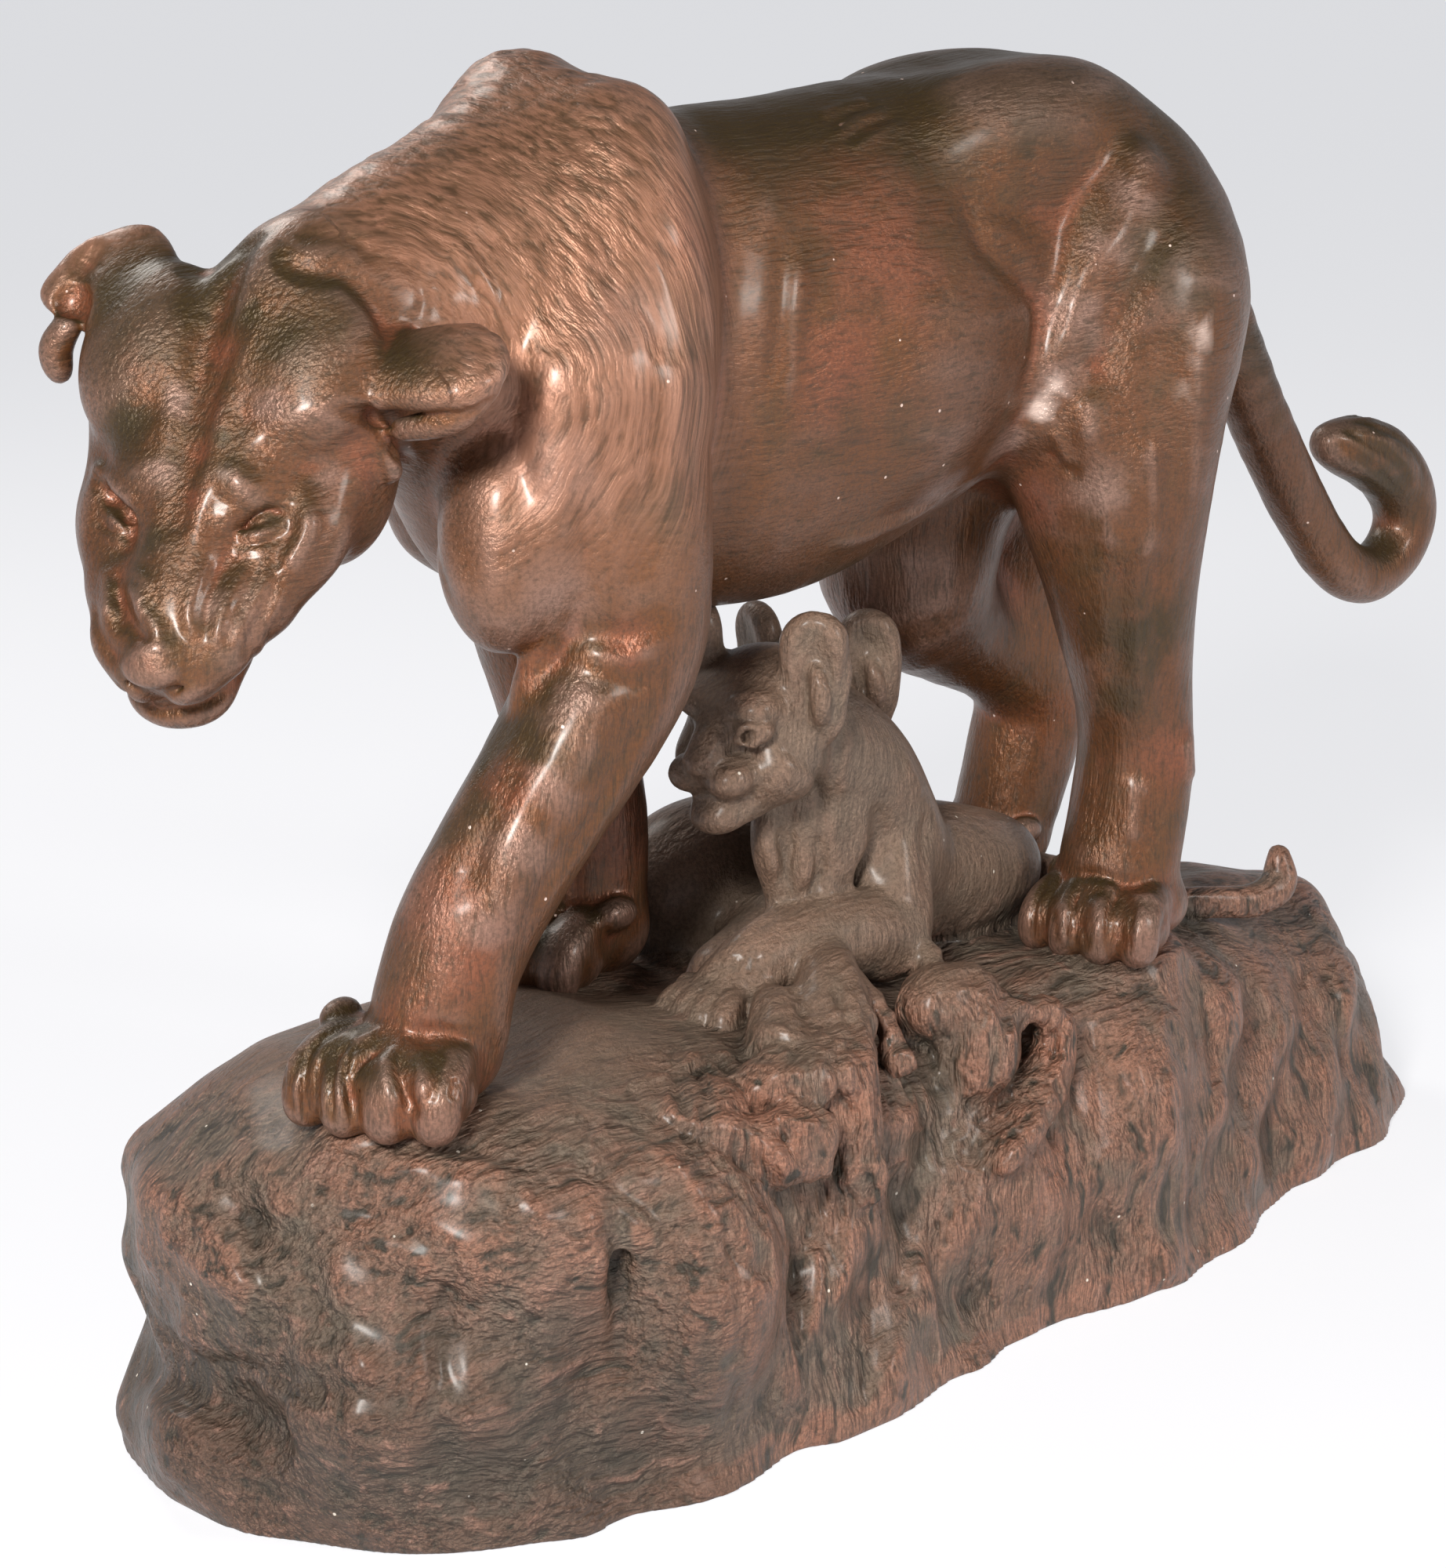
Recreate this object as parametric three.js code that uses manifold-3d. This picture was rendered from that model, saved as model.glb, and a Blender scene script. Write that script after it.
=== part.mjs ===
// A bronze lioness walking with her head hung low over two cubs that lie on a rocky base.
// Two castings: the lioness with her tail, and the rock cast in one with both cubs.
// Millimetres. Z is up, the underside of the rock is at z = 0, X runs along the rock with
// the lioness's head towards -X, and her left flank faces -Y. The origin is the centre of
// the underside.

import * as THREE from 'three'
import { mergeVertices } from 'three/addons/utils/BufferGeometryUtils.js'
import Module from 'manifold-3d'

// Driving dimensions
const ROCK_WIDTH = 430
const FRONT_TOP = 238          // height of the rock under the forepaws
const REAR_TOP = 210           // height of the rock under the hind paws
const CUB_HEAD = 0.56          // a cub's head as a share of hers
const PAW_GAP = 0.3            // open joint between her cut paws and the rock
const FINE = 5                 // spacing of the net that the skin is drawn from, at the heads
const COARSE = 9               // and elsewhere
const SKIN = 24                // how far from a form its distance is kept
const TRIM = 12                // clay below the floor, cut off flat at the end
const WEATHER = 7              // how far the rock's surface swells and sinks
const LIONESS_FACES = 5500
const ROCK_FACES = 4300

// Her four paws: where the sole stands, how far it turns to her left, and its length
const PAWS = {
  leftFore: { sole: [-384, -58, FRONT_TOP], turn: 22, size: 102 },
  rightFore: { sole: [-152, 72, FRONT_TOP], turn: 5, size: 98 },
  leftHind: { sole: [208, -76, REAR_TOP], turn: 14, size: 92 },
  rightHind: { sole: [262, 90, REAR_TOP], turn: 0, size: 88 },
}

// Small vector helpers
const add = (a, b, t = 1) => [a[0] + b[0] * t, a[1] + b[1] * t, a[2] + b[2] * t]
const sub = (a, b) => [a[0] - b[0], a[1] - b[1], a[2] - b[2]]
const dot = (a, b) => a[0] * b[0] + a[1] * b[1] + a[2] * b[2]
const cross = (a, b) => [a[1] * b[2] - a[2] * b[1], a[2] * b[0] - a[0] * b[2], a[0] * b[1] - a[1] * b[0]]
const unit = (a) => a.map((v) => v / Math.hypot(...a))
const radians = THREE.MathUtils.degToRad

// An animal's own directions: forward, left and up, turned by yaw, pitch and roll in degrees.
// Yaw 0 looks along -X and a positive yaw turns to the animal's left.
function heading(yaw, pitch = 0, roll = 0) {
  const cy = Math.cos(radians(yaw))
  const sy = Math.sin(radians(yaw))
  const cp = Math.cos(radians(pitch))
  const sp = Math.sin(radians(pitch))
  const forward = [-cy * cp, -sy * cp, sp]
  const level = [sy, -cy, 0]
  const top = cross(forward, level)
  const cr = Math.cos(radians(roll))
  const sr = Math.sin(radians(roll))
  const left = add([level[0] * cr, level[1] * cr, level[2] * cr], top, sr)
  return { forward, left, up: cross(forward, left) }
}

// A point given along an animal's own directions from a centre
function place(centre, axes, forward, left, up) {
  return add(add(add(centre, axes.forward, forward), axes.left, left), axes.up, up)
}

// A turned ellipsoid, measured along three directions
function lump(centre, radii, axes = heading(0)) {
  const [rf, rl, ru] = radii
  const reach = [0, 1, 2].map((i) => Math.hypot(axes.forward[i] * rf, axes.left[i] * rl, axes.up[i] * ru))
  return {
    low: sub(centre, reach),
    high: add(centre, reach),
    distance(x, y, z) {
      const p = [x - centre[0], y - centre[1], z - centre[2]]
      const f = dot(p, axes.forward)
      const l = dot(p, axes.left)
      const u = dot(p, axes.up)
      const near = Math.hypot(f / rf, l / rl, u / ru)
      const slope = Math.hypot(f / (rf * rf), l / (rl * rl), u / (ru * ru))
      return slope < 1e-9 ? -Math.min(rf, rl, ru) : (near * (near - 1)) / slope
    },
  }
}

// A tapering limb with round ends; across narrows (under 1) or widens it along Y
function limb(a, b, ra, rb, across = 1) {
  const start = [a[0], a[1] / across, a[2]]
  const run = sub([b[0], b[1] / across, b[2]], start)
  const length2 = dot(run, run)
  const grow = Math.max(ra, rb)
  const wide = grow * Math.max(1, across)
  return {
    low: [Math.min(a[0], b[0]) - grow, Math.min(a[1], b[1]) - wide, Math.min(a[2], b[2]) - grow],
    high: [Math.max(a[0], b[0]) + grow, Math.max(a[1], b[1]) + wide, Math.max(a[2], b[2]) + grow],
    distance(x, y, z) {
      const p = sub([x, y / across, z], start)
      const t = Math.min(1, Math.max(0, dot(p, run) / length2))
      const off = add(p, run, -t)
      return (Math.hypot(...off) - (ra + (rb - ra) * t)) * Math.min(1, across)
    },
  }
}

// Places along one direction, closer together where the form is finer: from, step, to, step, to
function ruler(from, ...spans) {
  const marks = [from]
  for (let i = 0; i < spans.length; i += 2) {
    const start = marks[marks.length - 1]
    const count = Math.ceil((spans[i + 1] - start) / spans[i])
    for (let n = 1; n <= count; n++) marks.push(start + (n * (spans[i + 1] - start)) / count)
  }
  return marks
}

// Clay: a block of distances that forms are pressed into and carved out of
class Clay {
  constructor(xs, ys, zs) {
    this.marks = [xs, ys, zs]
    this.count = this.marks.map((m) => m.length)
    this.values = new Float32Array(xs.length * ys.length * zs.length).fill(1e3)
  }

  visit(form, reach, change) {
    const [xs, ys, zs] = this.marks
    const inside = this.marks.map((m, axis) => {
      const first = m.findIndex((v) => v >= form.low[axis] - reach)
      const last = m.findLastIndex((v) => v <= form.high[axis] + reach)
      return first < 0 ? [0, -1] : [first, last]
    })
    for (let k = inside[2][0]; k <= inside[2][1]; k++) {
      for (let j = inside[1][0]; j <= inside[1][1]; j++) {
        for (let i = inside[0][0]; i <= inside[0][1]; i++) {
          const at = (k * ys.length + j) * xs.length + i
          this.values[at] = change(this.values[at], xs[i], ys[j], zs[k])
        }
      }
    }
  }

  // Press forms on, each melting into the clay over the blend width
  press(blend, ...forms) {
    for (const form of forms) {
      this.visit(form, blend + SKIN, (old, x, y, z) => melt(old, form.distance(x, y, z), blend))
    }
  }

  // Cut all the clay off below a height
  trim(height) {
    const layer = this.count[0] * this.count[1]
    this.values.forEach((old, at) => {
      this.values[at] = Math.max(old, height - this.marks[2][Math.floor(at / layer)])
    })
  }

  // Swell and sink the surface in slow uneven waves, less on top than on the sides
  weather(depth) {
    const everywhere = { low: [-1e4, -1e4, -1e4], high: [1e4, 1e4, 1e4] }
    this.visit(everywhere, 0, (old, x, y, z) => {
      const slow = Math.sin(0.034 * x + 0.011 * y + 1.3 * Math.sin(0.029 * z + 0.5))
        * Math.cos(0.041 * z - 0.013 * x + 1.1 * Math.sin(0.03 * y))
      const quick = Math.sin(0.057 * x - 0.037 * y + 0.045 * z + 1.2 * Math.sin(0.036 * x + 0.03 * z))
      return old + depth * (slow + 0.4 * quick) * (z < 170 ? 1 : Math.max(0.25, 1 - (z - 170) / 50))
    })
  }

  // Carve forms away
  carve(blend, ...forms) {
    for (const form of forms) {
      this.visit(form, blend + SKIN, (old, x, y, z) => -melt(-old, form.distance(x, y, z), blend))
    }
  }
}

function melt(a, b, blend) {
  const overlap = Math.max(blend - Math.abs(a - b), 0) / blend
  return Math.min(a, b) - (overlap * overlap * blend) / 4
}

// One smooth limb through points given as [x, y, z, radius], round in section
function chain(points, across = 1) {
  const bends = 4
  const along = []
  for (let i = 0; i < points.length - 1; i++) {
    const [a, b, c, d] = [points[Math.max(i - 1, 0)], points[i], points[i + 1], points[Math.min(i + 2, points.length - 1)]]
    for (let n = 0; n < bends; n++) {
      const t = n / bends
      along.push(b.map((v, k) => v + 0.5 * t * (c[k] - a[k]
        + t * (2 * a[k] - 5 * v + 4 * c[k] - d[k] + t * (3 * v - a[k] - 3 * c[k] + d[k])))))
    }
  }
  along.push(points[points.length - 1])
  const parts = along.slice(1).map((p, i) => limb(along[i].slice(0, 3), p.slice(0, 3), along[i][3], p[3], across))
  return {
    low: [0, 1, 2].map((k) => Math.min(...parts.map((part) => part.low[k]))),
    high: [0, 1, 2].map((k) => Math.max(...parts.map((part) => part.high[k]))),
    distance(x, y, z) {
      let least = 1e3
      for (const part of parts) least = melt(least, part.distance(x, y, z), 8)
      return least + 2
    },
  }
}

// One paw: a palm and four toes that arch over their knuckles and come down to blunt tips
function paw(clay, { sole, turn, size }) {
  const axes = heading(turn)
  const at = (f, l, u) => place(sole, axes, f * size, l * size, u * size)
  clay.press(size * 0.1, lump(at(-0.1, 0, 0.28), [size * 0.5, size * 0.44, size * 0.3], axes))
  for (let toe = 0; toe < 4; toe++) {
    const side = (toe - 1.5) * 0.25
    const inner = 1 - Math.abs(toe - 1.5) / 1.5
    const knuckle = at(0.18 + 0.1 * inner, side * 0.95, 0.4 + 0.05 * inner)
    const tip = at(0.43 + 0.14 * inner, side * 1.08, 0.12)
    clay.press(size * 0.05, limb(knuckle, tip, size * 0.16, size * 0.14))
  }
}

// The lioness
function modelLioness() {
  const clay = new Clay(ruler(-640, FINE, -360, COARSE, 700), ruler(-200, 7, 200),
    ruler(190, FINE, 290, COARSE, 450, 6, 790, COARSE, 850))

  // Trunk
  clay.press(40, lump([-60, 0, 628], [212, 95, 150]))
  clay.press(50, lump([95, 0, 652], [180, 80, 124]))
  clay.press(40, lump([220, 0, 688], [102, 72, 98]))
  clay.press(40, chain([[-205, 0, 734, 56], [-70, 0, 732, 46], [60, 0, 742, 46], [190, 0, 742, 50]]))

  // Shoulders and neck
  clay.press(22, limb([-204, -44, 774], [-242, -72, 650], 36, 56), limb([-205, 44, 786], [-243, 72, 650], 36, 54))
  for (const side of [-1, 1]) clay.press(30, lump([166, 40 * side, 748], [86, 34, 40]))
  clay.press(45, lump([-235, 0, 620], [92, 84, 122]))
  for (const side of [-1, 1]) {
    clay.press(10, chain([[-212, 60 * side, 752, 34], [-218, 74 * side, 690, 40], [-222, 80 * side, 610, 42],
      [-226, 82 * side, 548, 40]]))
  }
  clay.press(45, chain([[-225, 0, 692, 100], [-335, 0, 684, 82], [-400, -4, 688, 62]], 0.88))
  clay.press(40, limb([-215, 12, 768], [-320, 4, 724], 42, 40))

  // Forelegs: the left reaches forward and the right has gone back
  clay.press(20, chain([[-252, -70, 640, 62], [-246, -78, 560, 58], [-240, -82, 500, 51], [-272, -81, 445, 45],
    [-318, -77, 390, 41], [-352, -71, 340, 40], [-374, -66, 285, 38]]))
  clay.press(12, lump([-292, -96, 590], [22, 22, 76]))
  clay.press(24, chain([[-220, 70, 625, 58], [-196, 72, 560, 52], [-172, 72, 490, 45], [-148, 70, 410, 40],
    [-128, 68, 335, 36], [-130, 68, 265, 36]]))

  // The barrel of the belly ends in a round edge before the thighs
  for (const side of [-1, 1]) {
    clay.press(16, lump([20, 42 * side, 622], [96, 56, 84]))
    clay.carve(10, chain([[92, 90 * side, 700, 5], [118, 92 * side, 655, 6], [122, 92 * side, 625, 6],
      [104, 90 * side, 590, 6], [70, 86 * side, 560, 5]]))
  }

  // Hind legs
  clay.press(40, lump([256, -44, 640], [88, 52, 112]), lump([225, 44, 625], [90, 52, 112]))
  clay.press(35, chain([[238, -50, 640, 84], [212, -68, 548, 70], [218, -72, 470, 54], [230, -72, 400, 40],
    [244, -70, 350, 33], [242, -70, 305, 35], [226, -72, 250, 36]]))
  clay.press(10, lump([270, -66, 342], [18, 20, 22]), lump([166, -84, 572], [26, 26, 40]), lump([146, 84, 556], [26, 26, 40]))
  clay.press(35, chain([[232, 50, 630, 78], [190, 72, 530, 62], [206, 78, 455, 48], [262, 80, 390, 38],
    [296, 80, 345, 34], [292, 84, 300, 33], [280, 88, 250, 33]]))
  for (const foot of Object.values(PAWS)) paw(clay, foot)

  // Tail
  clay.press(20, chain([[285, 0, 720, 32], [334, 0, 690, 27], [374, 0, 636, 24], [421, 0, 561, 23], [471, 0, 492, 22],
    [507, 0, 451, 21], [552, 0, 412, 20], [596, 0, 396, 20], [620, 0, 420, 20], [618, 0, 450, 21],
    [600, 0, 475, 23], [568, 0, 489, 25], [540, 0, 500, 19]]))

  // Head
  const head = heading(27, -53, -1)
  const brow = [-511, -29, 604]
  catHead(clay, brow, head, 1, 0)
  const back = place([0, 0, 0], head, -0.35, 0, 1)
  ear(clay, place(brow, head, -97, 76, -16), place(brow, head, -110, 154, -22), back, 31, 12)
  ear(clay, place(brow, head, -126, -62, -4), place(brow, head, -156, -104, -12), back, 40, 12)
  return clay
}

// An ear: a leaf from root to tip, hollowed on the side away from its back
function ear(clay, root, tip, back, halfWidth, halfThick) {
  const along = unit(sub(tip, root))
  const across = unit(cross(back, along))
  const outward = unit(cross(along, across))
  const axes = { forward: along, left: across, up: outward }
  const length = Math.hypot(...sub(tip, root))
  const leaf = (at, reach, width, thick) => lump(add(root, along, at * length),
    [reach * length, halfWidth * width, halfThick * thick], axes)
  clay.press(8, leaf(0.42, 0.58, 1, 1), leaf(0.66, 0.38, 0.84, 0.9))
  const inner = add(add(root, along, 0.55 * length), outward, -halfThick)
  clay.carve(4, lump(inner, [0.42 * length, 0.72 * halfWidth, 0.95 * halfThick], axes))
}

// A cat's head, placed by the point between its eyes on the skin, with forward along the
// bridge of the nose. Young runs from 0 for the lioness to 1 for a cub's short face.
function catHead(clay, brow, axes, s, young) {
  const short = 1 - 0.36 * young
  const at = (f, l, u) => place(brow, axes, (f > 0 ? f * short : f) * s, l * s, u * s)
  const form = (f, l, u, rf, rl, ru) => lump(at(f, l, u), [rf * s, rl * s, ru * s], axes)
  const rod = (a, b, ra, rb) => limb(at(...a), at(...b), ra * s, rb * s)

  // Skull, cheeks and bridge of the nose
  clay.press(24 * s, form(-84, 0, -46, 76, 92, 58))
  clay.press(20 * s, rod([-40, 0, -38], [40, 0, -36], 46, 32))
  clay.press(14 * s, rod([-15, 0, -22], [80, 0, -22], 26, 18))
  for (const side of [-1, 1]) {
    clay.press(18 * s, form(-90, 46 * side, -14, 60, 46, 30))
    clay.press(14 * s, form(-26, 28 * side, -14, 40, 28, 20))
    clay.press(18 * s, form(-20, 58 * side, -42, 44, 24, 22))
    clay.press(14 * s, form(20, 42 * side, -36, 34, 22, 22))
    clay.press(20 * s, form(-50, 52 * side, -72, 44, 33, 32))
  }

  // Whisker pads, nose, lower jaw and chin
  for (const side of [-1, 1]) clay.press(12 * s, form(50, 26 * side, -28, 34, 27, 23))
  clay.press(10 * s, form(76, 0, -34, 20, 30, 20))
  clay.press(6 * s, form(86, 0, -18, 14, 21, 12))
  clay.press(14 * s, form(-4, 0, -76, 46, 44, 24))
  clay.press(12 * s, form(46, 0, -64, 46, 31, 22))
  clay.press(8 * s, form(78, -4, -62, 24, 32, 18))

  // The furrow of the brow, the eyes, the mouth and the nostrils
  clay.carve(12 * s, rod([-150, 0, 22], [-20, 0, 12], 10, 7))
  for (const side of [-1, 1]) {
    clay.carve(8 * s, form(4, 45 * side, -15, 19, 13, 9))
    clay.press(4 * s, form(1, 39 * side, -25, 14, 12, 12))
    clay.carve(5 * s, rod([30, 52 * side, -54], [90, 20 * side, -50], 3, 4))
    clay.carve(4 * s, form(96, 12 * side, -22, 7, 5, 5))
  }
}

// The rock, with both cubs lying on it
function modelRock() {
  const clay = new Clay(ruler(-570, 12, -180, FINE, 200, COARSE, 430, 12, 690),
    ruler(-270, 10, -110, FINE, 150, 12, 280), ruler(-36, 12, 195, FINE, 500))
  const half = ROCK_WIDTH / 2
  clay.press(60, column([-308, 0], 182, half * 0.8, FRONT_TOP, 82, 0.08))
  clay.press(60, column([-90, -10], 250, half * 0.82, (FRONT_TOP + REAR_TOP) / 2 + 4, 60, 0.34))
  clay.press(60, column([150, -2], 240, half * 0.76, REAR_TOP, 60, 0.3))
  clay.press(60, column([398, 38], 164, half * 0.56, REAR_TOP - 18, 90, 0.4))

  // The boulder at the front end overhangs the bed that it lies on
  clay.press(40, lump([-372, 14, 148], [132, 142, 74]), lump([-400, 6, 30], [108, 136, 62]))
  clay.carve(16, chain([[-440, 190, 84, 9], [-506, 120, 78, 10], [-530, 20, 70, 10], [-500, -95, 66, 10], [-430, -165, 64, 9]]))

  // Weathering: its surface swells and sinks, and hollows run down its sides
  clay.weather(WEATHER)
  for (const [x, y, z, long, high] of [[-330, -110, 176, 110, 52], [-400, -92, 90, 90, 56], [-262, -146, 120, 60, 84],
    [30, -140, 84, 80, 60], [160, -122, 108, 60, 70], [250, 120, 100, 110, 66], [-60, 140, 110, 120, 66], [-300, 130, 110, 120, 66]]) {
    clay.press(34, lump([x, y, z], [long, 70, high]))
  }
  clay.carve(26, lump([-84, -206, 104], [46, 22, 60]))
  for (const [x, y, lean] of [[-322, -196, 10], [-216, -212, -14], [-150, -216, 12], [96, -196, -10], [210, -176, 14],
    [200, 190, -12], [40, 206, 10], [-110, 212, -10], [-250, 200, 12]]) {
    clay.carve(16, chain([[x - lean, y * 0.86, 170, 4], [x, y, 110, 7], [x + lean, y * 1.04, 30, 7]]))
  }

  // Gnarled folds hang over the near edge
  clay.press(22, chain([[-36, -66, 240, 22], [-74, -106, 240, 27], [-96, -142, 206, 25], [-100, -164, 150, 22]]))
  clay.press(18, chain([[-112, -84, 232, 20], [-142, -124, 228, 24], [-138, -156, 196, 22]]))
  clay.press(18, chain([[-186, -128, 212, 14], [-200, -158, 196, 18], [-164, -178, 156, 15]]))
  clay.press(18, chain([[-56, -92, 230, 18], [16, -108, 220, 20], [74, -126, 204, 20], [104, -146, 170, 16]]))
  clay.press(18, chain([[96, -96, 204, 16], [128, -122, 190, 17], [138, -148, 156, 14], [112, -172, 108, 11]]))
  clay.press(8, lump([66, -52, 222], [12, 10, 12]))

  // A level bed under each of her paws
  for (const { sole, turn, size } of Object.values(PAWS)) {
    const [x, y, z] = place(sole, heading(turn), size * 0.04, 0, 0)
    clay.press(16, column([x, y], size * 0.66, size * 0.56, z + 1, 12, 0.3))
  }

  modelNearCub(clay)
  modelFarCub(clay)
  clay.trim(-TRIM)
  return clay
}

// A boulder like a round-edged post: an oval in plan that widens towards the ground
function column([cx, cy], rx, ry, top, edge, spread) {
  const grow = 1 + spread
  return {
    low: [cx - rx * grow, cy - ry * grow, -TRIM],
    high: [cx + rx * grow, cy + ry * grow, top],
    distance(x, y, z) {
      const widen = 1 + (spread * (top - Math.max(z, 0))) / top - spread * 0.5
      const plan = Math.hypot((x - cx) / (rx * widen), (y - cy) / (ry * widen))
      const side = (plan - 1) * Math.min(rx, ry) * widen + edge
      const rise = z - top + edge
      return Math.min(Math.max(side, rise), 0) + Math.hypot(Math.max(side, 0), Math.max(rise, 0)) - edge
    },
  }
}

// The near cub lies with its forelegs out and its head up
function modelNearCub(clay) {
  clay.press(24, lump([48, -6, 285], [60, 44, 66]))
  clay.press(26, chain([[70, 0, 278, 48], [130, 8, 258, 42], [180, 12, 246, 34]]))
  clay.press(22, chain([[40, -10, 322, 42], [-40, -24, 378, 36]]))
  clay.press(12, chain([[-62, -30, 372, 24], [-44, -38, 320, 16], [-40, -40, 290, 8]]))
  clay.press(12, chain([[44, -46, 285, 32], [42, -54, 248, 29], [-40, -46, 240, 24], [-104, -34, 236, 20]]))
  clay.press(12, chain([[20, 20, 255, 28], [-56, 4, 240, 22], [-88, -4, 236, 19]]))
  paw(clay, { sole: [-112, -32, 214], turn: 12, size: 44 })
  const face = heading(17, -28, 0)
  const brow = [-124, -42, 410]
  catHead(clay, brow, face, CUB_HEAD, 1)
  for (const side of [-1, 1]) {
    const root = place(brow, face, -52, 34 * side, -14)
    const tip = place(brow, face, -62, 48 * side, 38)
    ear(clay, root, tip, place([0, 0, 0], face, -1, 0.6 * side, 0), 24, 10)
  }
  // Its tail lies along the rock and turns up at the end
  clay.press(8, chain([[240, 12, 236, 14], [300, -25, 208, 11], [350, -50, 200, 10], [392, -62, 198, 10],
    [410, -62, 212, 9], [408, -60, 228, 8]]))
}

// The far cub lies crosswise behind it
function modelFarCub(clay) {
  clay.press(24, lump([-14, 94, 262], [64, 48, 56]))
  clay.press(24, lump([40, 98, 262], [84, 46, 54]))
  clay.press(24, lump([98, 92, 296], [48, 42, 62]))
  clay.press(20, limb([100, 88, 325], [102, 84, 356], 40, 36))
  const face = heading(34, -22, 0)
  const brow = [62, 54, 374]
  catHead(clay, brow, face, CUB_HEAD, 1)
  for (const side of [-1, 1]) {
    const root = place(brow, face, -52, 34 * side, -14)
    const tip = place(brow, face, -62, 48 * side, 38)
    ear(clay, root, tip, place([0, 0, 0], face, -1, 0.3 * side, 0), 23, 10)
  }
}

const wasm = await Module()
wasm.setup()

// The skin of the clay at distance zero: every cell of the net is split into six
// tetrahedra that share its long diagonal, and each is cut where the distance changes sign
function skin(clay) {
  const [nx, ny, nz] = clay.count
  const corner = [0, 1, nx, nx + 1, nx * ny, nx * ny + 1, nx * ny + nx, nx * ny + nx + 1]
  const split = [[0, 1, 3, 7], [0, 3, 2, 7], [0, 2, 6, 7], [0, 6, 4, 7], [0, 4, 5, 7], [0, 5, 1, 7]]
  const points = []
  const faces = []
  const made = new Map()
  const value = clay.values
  const cut = (a, b) => {
    const key = a < b ? a * 8e6 + b : b * 8e6 + a
    if (made.has(key)) return made.get(key)
    const t = Math.min(0.95, Math.max(0.05, value[a] / (value[a] - value[b])))
    const where = (n) => [n % nx, Math.floor(n / nx) % ny, Math.floor(n / (nx * ny))]
    const pa = where(a)
    const pb = where(b)
    const index = points.length / 3
    clay.marks.forEach((m, i) => points.push(m[pa[i]] + (m[pb[i]] - m[pa[i]]) * t))
    made.set(key, index)
    return index
  }
  for (let k = 0; k < nz - 1; k++) {
    for (let j = 0; j < ny - 1; j++) {
      for (let i = 0; i < nx - 1; i++) {
        const base = (k * ny + j) * nx + i
        let inside = 0
        for (let c = 0; c < 8; c++) inside += value[base + corner[c]] < 0 ? 1 : 0
        if (inside === 0 || inside === 8) continue
        for (const tet of split) {
          const node = tet.map((c) => base + corner[c])
          const within = node.filter((n) => value[n] < 0)
          const outer = node.filter((n) => value[n] >= 0)
          if (!within.length || !outer.length) continue
          // An even order of the four corners keeps the faces pointing out
          const even = parity([...within, ...outer].map((n) => node.indexOf(n)))
          let ring
          if (within.length === 1) ring = outer.map((o) => cut(within[0], o))
          else if (within.length === 3) ring = within.map((w) => cut(w, outer[0]))
          else {
            ring = [cut(within[0], outer[0]), cut(within[0], outer[1]),
              cut(within[1], outer[1]), cut(within[1], outer[0])]
          }
          if (!even) ring.reverse()
          for (let n = 2; n < ring.length; n++) faces.push([ring[0], ring[n - 1], ring[n]])
        }
      }
    }
  }
  return { points, faces }
}

function parity(order) {
  let swaps = 0
  for (let a = 0; a < order.length; a++) {
    for (let b = a + 1; b < order.length; b++) swaps += order[a] > order[b] ? 1 : 0
  }
  return swaps % 2 === 0
}

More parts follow.
